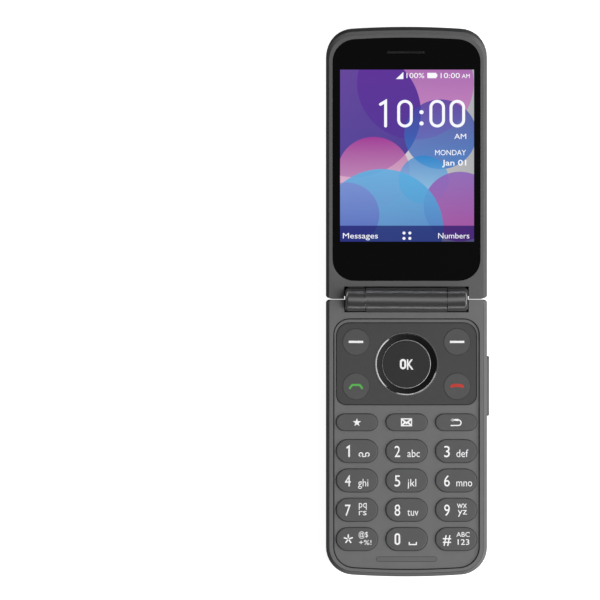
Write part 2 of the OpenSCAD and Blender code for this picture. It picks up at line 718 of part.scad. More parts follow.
module front_housing() color(graphite) difference() {
  union() {
    difference() {
      stacked(face_rows(parting_z, base_t), base_near, base_far, hinge_edge);
      translate([0, 0, parting_z - over]) linear_extrude(skin_z - parting_z + over)
        plan(cavity_hw, base_near - wall, base_far + wall, cavity_far_r, hinge_corner_r);
    }
    // wall behind the barrel's pocket
    intersection() {
      at_hinge() bar(-pocket_half - pocket_wall, pocket_half + pocket_wall,
        base_pocket_r + pocket_wall);
      block([-half_w, base_near - pocket_reach, 0], [half_w, base_near - wall / 2, skin_z + touch]);
    }
    for (p = screw_places) translate([p[0], p[1], screw_land + touch])
      cylinder(h = skin_z - screw_land, r = boss_r);
    middle_knuckle();
  }
  // pockets round the lid's two knuckles and a crease along the middle one
  at_hinge() bar(-pocket_half, -middle_half, base_pocket_r);
  at_hinge() bar(middle_half, pocket_half, base_pocket_r);
  difference() {
    at_hinge() bar(-middle_half - over, middle_half + over, base_pocket_r);
    middle_knuckle();
  }
  translate([0, 0, recess_z]) linear_extrude(recess_depth + over)
    plan(recess_hw, recess_near, recess_far, recess_far_r, recess_near_r);
  translate([0, 0, recess_z - groove_depth]) linear_extrude(groove_depth + over) difference() {
    plan(recess_hw, recess_near, recess_far, recess_far_r, recess_near_r);
    plan(recess_hw - groove_w, recess_near - groove_w, recess_far + groove_w,
      recess_far_r - groove_w, recess_near_r - groove_w);
  }
  translate([0, 0, panel_z - panel_t]) linear_extrude(panel_t + over)
    plan(panel_hw + touch, panel_near + touch, panel_far - touch, panel_far_r, panel_near_r, straight_r);
  key_openings(skin_z - over, base_t);
  nav_openings(skin_z - over, base_t);
  translate([0, pad_y, recess_z - pad_seat]) linear_extrude(recess_depth + over)
    stadium(pad_len + 2 * pad_gap, pad_w + 2 * pad_gap);
  screw_holes(screw_land, screw_z + screw_head_t + screw_len + 0.3, screw_r + 0.02);
  // socket mouth and microphone hole in the far end
  translate([0, base_far - over, board_z - touch - usb_h / 2]) rotate([-90, 0, 0])
    linear_extrude(wall + 2 * over) stadium(usb_w + 0.3, usb_h + 0.3);
  translate([mic_x, base_far - over, board_z - 0.6]) rotate([-90, 0, 0])
    cylinder(h = wall + 2 * over, r = 0.5);
  // opening for the volume key
  translate([half_w - wall - over, volume_y, volume_z]) rotate([90, 0, 90])
    linear_extrude(wall + 2 * over) stadium(volume_len + 2 * key_gap, volume_h + 2 * key_gap);
  middle_knuckle_cuts();
}

// The base's own knuckle, with the web that joins it to the housing below the crease
module middle_knuckle() {
  at_hinge() bar(-middle_half, middle_half, middle_knuckle_r);
  block([-middle_half, hinge_y - base_pocket_r - touch, hinge_z - base_pocket_r - touch],
        [middle_half, hinge_y, hinge_z - crease_depth]);
}

// Through bore of the middle knuckle and the slot that lets the flex circuit in
module middle_knuckle_cuts() at_hinge() {
  bar(-seam_x - over, seam_x + over, cartridge_r + running_gap);
  flex_slot();
}

module flex_slot() rotate([flex_slope, 0, 0])
  block([flex_in - 0.3, -base_flex_reach - 1.5, -flex_t / 2 - 0.25],
        [flex_in + flex_w + 0.3, 0, flex_t / 2 + 0.25]);

module rear_housing() color(graphite) difference() {
  union() {
    difference() {
      stacked(back_rows(parting_z, 0, back_crown_w), base_near, base_far);
      translate([0, 0, cavity_floor]) linear_extrude(parting_z)
        plan(cavity_hw, base_near - wall, base_far + wall, cavity_far_r, hinge_corner_r);
    }
    block([-battery_w / 2 - battery_gap - bay_wall, battery_far - battery_gap - bay_wall, channel_z],
          [battery_w / 2 + battery_gap + bay_wall, battery_near + battery_gap + bay_wall, bay_top]);
    for (p = screw_places) translate([p[0], p[1], channel_z])
      cylinder(h = screw_land - channel_z, r = boss_r + 0.5);
  }
  // battery bay and its opening for the spring contacts
  block([-battery_w / 2 - battery_gap, battery_far - battery_gap, 0],
        [battery_w / 2 + battery_gap, battery_near + battery_gap, battery_z + battery_t + battery_gap]);
  block([-contact_hw - 0.2, battery_near, channel_z + 0.6],
        [contact_hw + 0.2, battery_near + bay_wall + over, bay_top + over]);
  // channel for the battery cover, with a groove and a notch for each hook
  block([-cover_hw - cover_gap, base_far - over, -over],
        [cover_hw + cover_gap, cover_near + cover_gap, channel_z]);
  for (s = [-1, 1], y = hook_y) {
    block_mirrored(s, [cover_hw - over, y - hook_len / 2 - cover_travel - 0.2, hook_z - touch],
      [cover_hw + hook_reach + 0.2, y + hook_len / 2 + 0.2, channel_z]);
    block_mirrored(s, [cover_hw - over, y - hook_len / 2 - cover_travel - 0.3, -over],
      [cover_hw + hook_reach + 0.2, y + hook_len / 2 - cover_travel + 0.3, channel_z]);
  }
  // window to the card socket, seats for the loudspeaker and the motor, and the grille
  block([-sim_w / 2 - 0.4, sim_y - sim_len / 2 - 0.4, 0],
        [sim_w / 2 + 0.4, sim_y + sim_len / 2 + 0.4, parting_z]);
  block([speaker_x - speaker_len / 2 - 0.1, speaker_y - speaker_w / 2 - 0.1, speaker_z],
        [speaker_x + speaker_len / 2 + 0.1, speaker_y + speaker_w / 2 + 0.1, parting_z + over]);
  translate([motor_x, motor_y, speaker_z]) cylinder(h = parting_z, r = motor_r + 0.1);
  translate([speaker_x, speaker_y, -over]) linear_extrude(speaker_z + 2 * over)
    for (k = [0:grille_slots - 1]) translate([(k - (grille_slots - 1) / 2) * grille_pitch, 0])
      rotate(90) stadium(speaker_w - 3, 0.8);
  screw_holes(0, parting_z + over * 2, screw_r + 0.15);
  screw_holes(0, screw_z + screw_head_t, screw_head_r + 0.1);
}

// A block on the right side, or its mirror image on the left
module block_mirrored(side, low, high) mirror([side < 0 ? 1 : 0, 0, 0]) block(low, high);

module nav_panel() color(panel_grey) difference() {
  translate([0, 0, panel_z - panel_t + touch]) linear_extrude(panel_t - touch)
    plan(panel_hw - panel_gap, panel_near - panel_gap, panel_far + panel_gap,
      panel_far_r - panel_gap, panel_near_r - panel_gap, straight_r);
  nav_openings(skin_z, base_t);
}

module face_pad() color(rubber_grey)
  translate([0, pad_y, recess_z - pad_seat + touch])
    linear_extrude(pad_seat - touch + pad_proud) stadium(pad_len, pad_w);

module sheet_plan() difference() {
  block2([-board_hw + 0.8, sheet_low], [board_hw - 0.8, recess_near - 2]);
  for (p = screw_places) translate(p) circle(r = boss_r + 0.3);
}

module block2(low, high) translate(low) square(high - low);

module keypad_mat() color(rubber_grey) translate([0, 0, mat_z]) linear_extrude(mat_t)
  difference() {
    sheet_plan();
    translate([0, nav_y]) circle(r = ring_flange_r + 0.8);
  }

module dome_sheet() color(steel) {
  translate([0, 0, dome_z + touch]) linear_extrude(film_t) sheet_plan();
  for (p = key_domes) translate([p[0], p[1], dome_z + touch])
    cylinder(h = dome_t - touch, r1 = dome_r, r2 = dome_r * 0.6);
  for (a = [0:90:270]) translate([0, nav_y, dome_z + touch]) rotate(a) translate([nav_dome_at, 0, 0])
    cylinder(h = dome_t - touch, r1 = nav_dome_r, r2 = nav_dome_r * 0.6);
}

module main_board() color(board_green) {
  translate([0, 0, board_z]) linear_extrude(board_t) difference() {
    intersection() {
      plan(board_hw, base_near - wall - 4.6, base_far + wall + 0.8, cavity_far_r - 1, 1.5);
      block2([-board_hw, base_far], [board_hw, base_near]);
    }
    for (p = screw_places) translate(p) circle(r = boss_r + 0.3);
  }
  // spring contacts of the battery, soldered under the board
  block([-contact_hw, battery_near + touch, cavity_floor + touch],
        [contact_hw, battery_near + bay_wall + 1.4, board_z + touch]);
}

module shield_cans() color(steel) {
  for (s = [-1, 1]) block_mirrored(s, [can_in, can_near - can_len, board_z - can_t],
    [can_out, can_near, board_z - touch]);
}

module battery_pack() color("#2b2b2d")
  block([-battery_w / 2, battery_far, battery_z], [battery_w / 2, battery_near, battery_z + battery_t]);

module sim_socket() color(steel)
  block([-sim_w / 2, sim_y - sim_len / 2, board_z - sim_t],
        [sim_w / 2, sim_y + sim_len / 2, board_z - touch]);

module usb_socket() color(steel)
  translate([0, base_far + 0.6, board_z - touch - usb_h / 2]) rotate([-90, 0, 0]) difference() {
    linear_extrude(usb_len) stadium(usb_w, usb_h);
    translate([0, 0, -over]) linear_extrude(usb_len - 0.4) difference() {
      stadium(usb_w - 0.6, usb_h - 0.6);
      square([6.7, 0.7], center = true);
    }
  }

module loudspeaker() color("#232325")
  block([speaker_x - speaker_len / 2, speaker_y - speaker_w / 2, speaker_z + touch],
        [speaker_x + speaker_len / 2, speaker_y + speaker_w / 2, speaker_z + touch + speaker_t]);

module microphone() color(steel)
  block([mic_x - mic_hw, base_far + wall + 1, board_z - 1.1],
        [mic_x + mic_hw, base_far + wall + 1 + mic_len, board_z - touch]);

module vibration_motor() color(steel)
  translate([motor_x, motor_y, speaker_z + touch]) cylinder(h = motor_t, r = motor_r);

module volume_switches() color(board_green) {
  reach = volume_len / 2 - 1.75;
  block([switch_x, volume_y - reach, board_z - 0.6],
        [switch_x + 0.3, volume_y + reach, board_z + board_t]);
  for (s = [-1, 1]) translate([switch_x + 0.3 - film, volume_y + s * (reach - 3), board_z + 0.1])
    rotate([0, 90, 0])
    cylinder(h = 0.25, r = 0.65);
}

module antenna_carrier() color("#2e2e30")
  block([-screw_x + boss_r + 1, base_far + wall + 1.2, cavity_floor + 1],
        [-usb_w / 2 - 0.9, battery_far - battery_gap - bay_wall - 0.6, board_z - touch]);

module housing_screws() color(steel) for (p = screw_places) translate([p[0], p[1], screw_z])
  difference() {
    union() {
      cylinder(h = screw_head_t, r = screw_head_r);
      cylinder(h = screw_head_t + screw_len, r = screw_r);
    }
    translate([0, 0, -over]) linear_extrude(over + 0.4) for (a = [0, 90]) rotate(a)
      square([1.6, 0.35], center = true);
  }

module hinge_cartridge() color(steel) at_hinge() difference() {
  bar(1, seam_x - 0.15, cartridge_r);
  bar(seam_x - 5, seam_x + over, shaft_r + running_gap);
}

module pivot_sleeve() color(steel) at_hinge() difference() {
  bar(sleeve_out, sleeve_in, cartridge_r);
  bar(sleeve_out - over, sleeve_in + over, sleeve_bore_r);
}

module hinge_flex() color("#b0702c") {
  at_hinge() {
    bar(sleeve_out - 0.15, flex_in + flex_w, flex_roll_r);
    rotate([flex_slope, 0, 0])
      block([flex_in, -base_flex_reach, -flex_t / 2], [flex_in + flex_w, 0, flex_t / 2]);
  }
  foot_y = hinge_y - base_flex_reach * cos(flex_slope);
  foot_z = board_z + board_t + touch;
  block([flex_in, foot_y - 2.2, foot_z], [flex_in + flex_w, foot_y + 0.3, foot_z + flex_t]);
}

module back_cover() color(graphite) difference() {
  union() {
    intersection() {
      stacked(back_rows(parting_z, 0, back_crown_w), base_near, base_far);
      block([-cover_hw, base_far - over, -over], [cover_hw, cover_near, cover_t]);
    }
    for (s = [-1, 1], y = hook_y) block_mirrored(s, [cover_hw - over, y - hook_len / 2, hook_z],
      [cover_hw + hook_reach, y + hook_len / 2, cover_t]);
  }
  // thumb grip
  for (k = [0:4]) translate([0, base_far + grip_from_far + k * grip_pitch, -over])
    linear_extrude(over + 0.25) stadium(grip_len, grip_pitch / 2);
}

// ---------- keys on the base ----------

module key_1() number_key(-1, 0);
module key_2() number_key(0, 0);
module key_3() number_key(1, 0);
module key_4() number_key(-1, 1);
module key_5() number_key(0, 1);
module key_6() number_key(1, 1);
module key_7() number_key(-1, 2);
module key_8() number_key(0, 2);
module key_9() number_key(1, 2);
module key_star() number_key(-1, 3);
module key_0() number_key(0, 3);
module key_hash() number_key(1, 3);
module favourites_key() function_key(-1);
module messages_key() function_key(0);
module back_key() function_key(1);
module soft_key_left() side_round_key(-1, 1);
module soft_key_right() side_round_key(1, 1);
module call_key() side_round_key(-1, -1);
module end_key() side_round_key(1, -1);

module ok_key() color("#3a3a3a") translate([0, nav_y, 0]) {
  r = ok_d / 2;
  rotate_extrude() polygon([[0, ok_z], [r, ok_z], [r, ok_top - key_edge],
    [r - key_edge * 0.3, ok_top - key_edge * 0.3], [r - key_edge, ok_top], [0, ok_top]]);
  translate([0, 0, mat_top]) cylinder(h = ok_z - mat_top + film, r = 2.4);
}

module nav_ring() color(gloss_black) translate([0, nav_y, 0]) rotate_extrude() polygon([
  [ring_low_r, ring_flange_z], [ring_flange_r, ring_flange_z], [ring_flange_r, ring_flange_top],
  [ring_d / 2, ring_flange_top], [ring_d / 2, ring_top], [ring_d / 2 - ring_lip, ring_top - ring_lip_drop],
  [ok_d / 2 + ok_gap, ring_top - ring_dish], [ok_d / 2 + ok_gap, ring_flange_top],
  [ring_low_r, ring_flange_top]]);

module nav_ring_carrier() color("#2e2e30") translate([0, nav_y, carrier_z]) difference() {
  cylinder(h = carrier_t, r = carrier_r);
  translate([0, 0, -over]) cylinder(h = carrier_t + 2 * over, r = carrier_r - carrier_w);
}

module volume_key() color(graphite) translate([0, volume_y, volume_z]) rotate([90, 0, 90]) {
  translate([0, 0, volume_key_in - 1.1]) linear_extrude(0.6)
    stadium(volume_len + 2 * flange_w, volume_h + 2 * flange_w);
  edge = 0.3;
  cap([[0, volume_key_in - 0.6, half_w + volume_proud - edge],
    [edge, half_w + volume_proud - film, half_w + volume_proud]], volume_len, volume_h);
}

// ---------- lid ----------

module lid_frame() color(graphite) on_lid() difference() {
  union() {
    difference() {
      stacked(face_rows(split_z, face_z), lid_start, lid_end, hinge_edge);
      bar(-pocket_half, pocket_half, lid_pocket_r);
    }
    for (s = [-1, 1]) {
      outer_knuckle(s);
      // web that joins the knuckle to the frame below the crease
      block_mirrored(s, [seam_x + seam_gap / 2, 0, split_z],
        [barrel_half - knuckle_round, lid_pocket_r + touch, -crease_depth]);
    }
  }
  // seat for the glass, window for the display and slot for the earpiece
  translate([0, 0, glass_seat]) linear_extrude(glass_t + over)
    plan(glass_hw, glass_start, glass_end, glass_far_r, glass_near_r);
  block([-display_w / 2 - 0.15, display_start - 0.15, split_z - over],
        [display_w / 2 + 0.15, display_start + display_len + 0.15, face_z]);
  block([-earpiece_len / 2 - 0.1, earpiece_y - earpiece_w / 2 - 0.1, split_z - over],
        [earpiece_len / 2 + 0.1, earpiece_y + earpiece_w / 2 + 0.1, face_z]);
  translate([magnet_x, earpiece_y, split_z - over])
    cylinder(h = over + magnet_t + 0.1, r = magnet_r + touch);
  // sockets for the hinge shaft and the pivot sleeve, and the flex circuit's way out
  bar(seam_x, socket_end, shaft_head_r + running_gap);
  block([seam_x, -key_rib / 2 - touch, 0], [shaft_end + touch, key_rib / 2 + touch, key_rib_top + 2 * touch]);
  bar(-socket_end, -seam_x, cartridge_r + running_gap);
  lid_flex_path(0.25);
  translate([pinhole_x, lid_end - 1.2, split_z + 1]) rotate([-90, 0, 0]) cylinder(h = 2, r = pinhole_r);
}

// One of the lid's knuckles, with its outer end rounded
module outer_knuckle(side) {
  reach = barrel_half - seam_x - seam_gap / 2;
  mirror([side < 0 ? 1 : 0, 0, 0]) translate([seam_x + seam_gap / 2, 0, 0]) rotate([0, 90, 0])
    rotate_extrude() polygon(concat([[0, 0], [knuckle_r, 0]],
      [for (k = [0:round_steps]) let (a = 90 * k / round_steps)
        [knuckle_r - knuckle_round * (1 - cos(a)), reach - knuckle_round * (1 - sin(a))]],
      [[0, reach]]));
}

// The lid's flex circuit, from the hinge axis to the lid's board, or room for it
module lid_flex_path(room) {
  fall = atan2(-(lid_board_z + board_t / 2), lid_board_start + 0.5);
  run = norm([lid_board_z + board_t / 2, lid_board_start + 0.5]);
  rotate([-fall, 0, 0]) block([lid_flex_x - room, 0, -flex_t / 2 - room],
    [lid_flex_x + flex_w + room, run, flex_t / 2 + room]);
}

module lid_cover() color(cover_grey) on_lid() difference() {
  union() {
    difference() {
      stacked(back_rows(split_z, back_z, lid_crown_w), lid_start, lid_end);
      translate([0, 0, inner_z]) linear_extrude(lid_t)
        plan(half_w - cover_side_wall, lid_start + wall, lid_end - wall, corner_r - wall, hinge_corner_r);
    }
    // wall behind the middle knuckle's pocket
    intersection() {
      bar(-seam_x - 1, seam_x + 1, lid_pocket_r + pocket_wall);
      block([-half_w, lid_start + wall / 2, inner_z - touch],
        [half_w, lid_start + pocket_reach, split_z]);
    }
  }
  bar(-seam_x - seam_gap / 2, seam_x + seam_gap / 2, lid_pocket_r);
  bar(-pocket_half, pocket_half, knuckle_r + touch);
  // seat of the outer window and the display's opening behind it
  translate([0, (window_start + window_end) / 2, back_z - over]) linear_extrude(over + window_t + 2 * touch)
    rounded_rect([window_w, window_len], window_r);
  block([-outer_display_w / 2 - 0.2, outer_display_y - outer_display_len / 2 - 0.2, back_z],
        [outer_display_w / 2 + 0.2, outer_display_y + outer_display_len / 2 + 0.2, split_z]);
  translate([0, trim_y, back_z - over]) linear_extrude(cover_skin + 2 * over)
    rotate(90) stadium(trim_len + 2 * trim_gap, trim_w + 2 * trim_gap);
  translate([flash_x, trim_y, back_z - over]) linear_extrude(cover_skin + 2 * over)
    rounded_rect([flash_w + 2 * touch, flash_len + 2 * touch], 0.6);
}

module display_glass() color(gloss_black) on_lid() difference() {
  translate([0, 0, glass_seat + touch]) linear_extrude(glass_t - touch)
    plan(glass_hw - touch, glass_start + touch, glass_end - touch, glass_far_r, glass_near_r);
  translate([0, earpiece_y, glass_seat - over]) linear_extrude(glass_t + 2 * over)
    stadium(earpiece_slot_len, earpiece_slot_w);
}

module main_display() color("#3c2a6a") on_lid()
  block([-display_w / 2, display_start, glass_seat - display_t],
        [display_w / 2, display_start + display_len, glass_seat - touch]);

module cover_window() color(gloss_black) on_lid()
  translate([0, (window_start + window_end) / 2, back_z + touch]) linear_extrude(window_t)
    rounded_rect([window_w - 2 * touch, window_len - 2 * touch], window_r - touch);

module cover_display() color("#1b1d24") on_lid()
  block([-outer_display_w / 2, outer_display_y - outer_display_len / 2, back_z + window_t + 2 * touch],
        [outer_display_w / 2, outer_display_y + outer_display_len / 2,
         back_z + window_t + 2 * touch + outer_display_t]);

module camera_trim() color(cover_grey) on_lid() difference() {
  union() {
    translate([0, trim_y, trim_z]) linear_extrude(inner_z - trim_z + touch + film) rotate(90)
      stadium(trim_len, trim_w);
    translate([0, trim_y, inner_z + touch]) linear_extrude(trim_flange_t - touch) rotate(90)
      stadium(trim_len + 2 * trim_flange_w, trim_w + 2 * trim_flange_w);
  }
  translate([0, camera_y, trim_z - over])
    cylinder(h = over + lens_t - lens_proud + touch, d = lens_d + 2 * touch);
  translate([0, camera_y, trim_z - over]) cylinder(h = lid_t, r = camera_barrel_r + camera_barrel_gap);
  translate([0, dial_y, trim_z - over]) cylinder(h = lid_t, d = dial_d + 2 * key_gap);
}

module camera_module() color("#232325") on_lid() {
  block([-camera_w / 2, camera_y - camera_w / 2, trim_inner_z + touch],
        [camera_w / 2, camera_y + camera_w / 2, lid_board_z - touch]);
  translate([0, camera_y, trim_z + lens_t - lens_proud + 2 * touch])
    cylinder(h = trim_inner_z - trim_z - lens_t + lens_proud, r = camera_barrel_r);
}

module camera_lens() color(gloss_black) on_lid()
  translate([0, camera_y, trim_z - lens_proud]) cylinder(h = lens_t, d = lens_d);

module quick_dial_key() color("#2a2a2c") on_lid() translate([0, dial_y, 0]) {
  r = dial_d / 2;
  top = trim_z - dial_proud;
  rotate_extrude() polygon([[0, top], [r - 0.3, top], [r, top + 0.3], [r, dial_flange_z],
    [r + flange_w - 0.1, dial_flange_z], [r + flange_w - 0.1, dial_flange_z + dial_flange_t],
    [0, dial_flange_z + dial_flange_t]]);
}

module flash_lens() color("#c8cf9c") on_lid()
  translate([flash_x, trim_y, back_z - 0.05]) linear_extrude(lid_board_z - touch - back_z + 0.05)
    rounded_rect([flash_w, flash_len], 0.55);

module lid_board() color(board_green) on_lid() {
  block([-half_w + cover_side_wall + 1, lid_board_start, lid_board_z],
        [half_w - cover_side_wall - 1, lid_board_start + lid_board_len, lid_board_top]);
  translate([0, dial_y, dial_flange_z + dial_flange_t + dial_travel + touch])
    cylinder(h = lid_board_z - dial_flange_z - dial_flange_t - dial_travel - touch + film, r = 2);
  lid_flex_path(0);
  bar(lid_flex_x, lid_flex_x + flex_w, flex_roll_r);
}

module earpiece() color("#232325") on_lid()
  block([-earpiece_len / 2, earpiece_y - earpiece_w / 2, split_z + 0.05],
        [earpiece_len / 2, earpiece_y + earpiece_w / 2, glass_seat - touch]);

module earpiece_mesh() color("#4a4a4c") on_lid()
  translate([0, earpiece_y, glass_seat + 0.1]) linear_extrude(0.45)
    stadium(earpiece_slot_len - 0.1, earpiece_slot_w - 0.1);

module hinge_shaft() color(steel) on_lid() {
  bar(seam_x - 4.8, seam_x + 0.3, shaft_r);
  bar(seam_x + 0.25, shaft_end, shaft_head_r);
  block([seam_x + 0.25, -key_rib / 2, 0], [shaft_end, key_rib / 2, key_rib_top]);
}

module hall_magnet() color(steel) on_lid()
  translate([magnet_x, earpiece_y, split_z + touch]) cylinder(h = magnet_t, r = magnet_r);

front_housing();
rear_housing();
nav_panel();
face_pad();
keypad_mat();
dome_sheet();
main_board();
shield_cans();
battery_pack();
sim_socket();
usb_socket();
loudspeaker();
microphone();
vibration_motor();
volume_switches();
antenna_carrier();
housing_screws();
hinge_cartridge();
pivot_sleeve();
hinge_flex();
back_cover();
key_1();
key_2();
key_3();
key_4();
key_5();
key_6();
key_7();
key_8();
key_9();
key_star();
key_0();
key_hash();
favourites_key();
messages_key();
back_key();
soft_key_left();
soft_key_right();
call_key();
end_key();
ok_key();
nav_ring();
nav_ring_carrier();
volume_key();
quick_dial_key();
lid_frame();
lid_cover();
display_glass();
main_display();
cover_window();
cover_display();
camera_trim();
camera_module();
camera_lens();
flash_lens();
lid_board();
earpiece();
earpiece_mesh();
hinge_shaft();
hall_magnet();
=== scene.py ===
# A folding keypad phone, open and lying on its back, seen straight from above.
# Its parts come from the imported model. This script gives them their finishes and adds what is
# printed, lit or woven on them. Metres, with small sizes written in millimetres times MM.
import json
import math

import bmesh
import bpy
from mathutils import Matrix, Vector


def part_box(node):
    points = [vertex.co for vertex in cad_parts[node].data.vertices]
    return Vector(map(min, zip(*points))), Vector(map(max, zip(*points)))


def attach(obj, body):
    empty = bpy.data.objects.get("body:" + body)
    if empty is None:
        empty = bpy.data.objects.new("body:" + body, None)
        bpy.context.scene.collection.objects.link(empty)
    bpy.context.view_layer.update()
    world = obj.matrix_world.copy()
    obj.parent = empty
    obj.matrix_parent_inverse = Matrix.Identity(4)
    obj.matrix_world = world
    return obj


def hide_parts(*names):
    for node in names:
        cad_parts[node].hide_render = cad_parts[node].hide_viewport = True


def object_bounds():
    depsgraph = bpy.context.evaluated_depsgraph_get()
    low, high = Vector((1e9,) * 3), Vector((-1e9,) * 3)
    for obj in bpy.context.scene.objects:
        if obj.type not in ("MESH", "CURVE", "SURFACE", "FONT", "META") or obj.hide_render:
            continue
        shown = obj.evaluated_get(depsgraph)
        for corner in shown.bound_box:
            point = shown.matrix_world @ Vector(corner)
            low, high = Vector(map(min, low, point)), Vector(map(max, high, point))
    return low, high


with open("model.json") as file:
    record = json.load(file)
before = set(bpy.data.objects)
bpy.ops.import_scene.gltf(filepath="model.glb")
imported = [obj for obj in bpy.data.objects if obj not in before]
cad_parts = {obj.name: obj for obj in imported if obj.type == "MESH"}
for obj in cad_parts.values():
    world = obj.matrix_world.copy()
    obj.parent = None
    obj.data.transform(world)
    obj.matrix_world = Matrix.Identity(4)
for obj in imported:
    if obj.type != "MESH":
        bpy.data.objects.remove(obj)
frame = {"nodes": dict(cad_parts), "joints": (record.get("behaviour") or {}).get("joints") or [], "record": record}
cad_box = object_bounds()
MM = 0.001
scene = bpy.context.scene
nodes = frame["nodes"]
record = frame["record"]
body_of = {node: body for body, members in record["behaviour"]["bodies"].items() for node in members}


# ---------- camera ----------

# The photograph is 600 px square at 0.36 mm a pixel, and the model's origin falls on this pixel
PHOTO_PX = 600
PIXEL = 0.36 * MM
ORIGIN_PX = (406.5, 438.0)
CAMERA_HEIGHT = 0.5

camera_data = bpy.data.cameras.new("camera")
camera_data.type = "ORTHO"
camera_data.ortho_scale = PHOTO_PX * PIXEL
camera = bpy.data.objects.new("camera", camera_data)
scene.collection.objects.link(camera)
camera.location = ((PHOTO_PX / 2 - ORIGIN_PX[0]) * PIXEL,
                   (ORIGIN_PX[1] - PHOTO_PX / 2) * PIXEL,
                   CAMERA_HEIGHT)
scene.camera = camera
scene.view_settings.view_transform = "Standard"


# ---------- colours and nodes ----------

def linear(code):
    """A colour written as sRGB hex, in linear light."""
    parts = [int(code[i:i + 2], 16) / 255 for i in (1, 3, 5)]
    return (*[c / 12.92 if c <= 0.04045 else ((c + 0.055) / 1.055) ** 2.4 for c in parts], 1.0)


def add(tree, kind, inputs=None, **settings):
    """Adds a node. Each input is a value, or the output socket that feeds it."""
    node = tree.nodes.new(kind)
    for key, value in settings.items():
        setattr(node, key, value)
    for key, value in (inputs or {}).items():
        socket = node.inputs[key]
        if isinstance(value, bpy.types.NodeSocket):
            tree.links.new(value, socket)
        else:
            socket.default_value = value
    return node


def mixed_in(tree, below, above, mask):
    """One colour laid over another through a mask."""
    return add(tree, "ShaderNodeMix", {0: mask, 6: below, 7: above}, data_type="RGBA").outputs[2]


# ---------- studio ----------

PHONE_MIDDLE = (0, 0.05, 0.01)


def light_panel(name, place, size, watts, lights=True, mirrored=True):
    """A soft panel turned to the phone. It lights the phone, shows in its gloss, or does both."""
    data = bpy.data.lights.new(name, "AREA")
    data.shape = "RECTANGLE"
    data.size, data.size_y = size
    data.energy = watts
    panel = bpy.data.objects.new(name, data)
    scene.collection.objects.link(panel)
    panel.location = place
    panel.rotation_euler = (Vector(PHONE_MIDDLE) - Vector(place)).to_track_quat("-Z", "Y").to_euler()
    panel.visible_camera = False
    panel.visible_diffuse = lights
    panel.visible_glossy = mirrored


# The two panels on the right light the phone. The other three only draw streaks in its gloss
light_panel("upper right", (0.62, -0.25, 0.85), (0.8, 0.8), 11.0, mirrored=False)
light_panel("right side", (0.75, 0.0, 0.28), (1.8, 0.16), 6.0)
light_panel("upper left", (-0.5, 0.5, 0.26), (0.7, 0.12), 1.4, lights=False)
light_panel("far side", (0.0, 0.9, 0.22), (0.6, 0.07), 1.0, lights=False)
light_panel("near side", (0.0, -0.9, 0.13), (0.5, 0.06), 0.5, lights=False)

# Heights in the room are sines of the angle above the horizon
PALE_BAND_TOP = 0.06
DARK_WALL_FOOT = 0.22
DARK_WALL = (0.03, 0.03, 0.03, 1)
CEILING_WAY = (0.208, 0, 0.978)     # towards the ceiling panel, 12 degrees to the right of overhead
CEILING_EDGE = 0.91                 # cosine of the angle between there and the panel's outer edge
CEILING_CORE = 0.965                # and to where its soft edge ends
CEILING_GLOW = 1.5
ROOM_LIGHT = 0.16


def studio_room():
    """A room that gives a dim even light.

    What the camera, gloss and glass see of it is a pale band along the horizon, dark walls above
    it and a pale panel on the ceiling.
    """
    world = bpy.data.worlds.new("studio")
    scene.world = world
    world.use_nodes = True
    tree = world.node_tree
    tree.nodes.clear()
    direction = add(tree, "ShaderNodeTexCoord").outputs["Generated"]
    height = add(tree, "ShaderNodeSeparateXYZ", {"Vector": direction}).outputs["Z"]
    ramp = add(tree, "ShaderNodeValToRGB", {"Fac": height})
    ramp.color_ramp.elements[0].position = PALE_BAND_TOP
    ramp.color_ramp.elements[0].color = (1, 1, 1, 1)
    ramp.color_ramp.elements[1].position = DARK_WALL_FOOT
    ramp.color_ramp.elements[1].color = DARK_WALL
    overhead = add(tree, "ShaderNodeVectorMath", {0: direction, 1: CEILING_WAY}, operation="DOT_PRODUCT")
    ceiling = add(tree, "ShaderNodeMapRange", {
        "Value": overhead.outputs["Value"], "From Min": CEILING_EDGE, "From Max": CEILING_CORE,
        "To Max": CEILING_GLOW})
    room = add(tree, "ShaderNodeVectorMath", {0: ramp.outputs["Color"], 1: ceiling.outputs[0]},
               operation="ADD")
    seen = add(tree, "ShaderNodeBackground", {"Color": room.outputs[0], "Strength": 1.0})
    lit = add(tree, "ShaderNodeBackground", {"Color": (1, 1, 1, 1), "Strength": ROOM_LIGHT})
    rays = add(tree, "ShaderNodeLightPath").outputs
    camera_or_gloss = add(tree, "ShaderNodeMath", {0: rays["Is Camera Ray"], 1: rays["Is Glossy Ray"]},
                          operation="MAXIMUM").outputs[0]
    any_seen = add(tree, "ShaderNodeMath", {0: camera_or_gloss, 1: rays["Is Transmission Ray"]},
                   operation="MAXIMUM").outputs[0]
    mixed = add(tree, "ShaderNodeMixShader", {0: any_seen, 1: lit.outputs[0], 2: seen.outputs[0]})
    add(tree, "ShaderNodeOutputWorld", {"Surface": mixed.outputs[0]})


studio_room()


# ---------- finishes ----------

def finish(name):
    """A new material with its node tree emptied, and the principled shader and output in place."""
    made = bpy.data.materials.new(name)
    made.use_nodes = True
    made.node_tree.nodes.clear()
    shader = add(made.node_tree, "ShaderNodeBsdfPrincipled")
    add(made.node_tree, "ShaderNodeOutputMaterial", {"Surface": shader.outputs[0]})
    return made, made.node_tree, shader


NOISE_LOW, NOISE_HIGH = 0.3, 0.7    # nearly all of a noise pattern lies between these
CLOUD_TO_GRAIN = 40                 # size of the slow change of shade, in grains
PLAIN_SPECULAR = 0.5


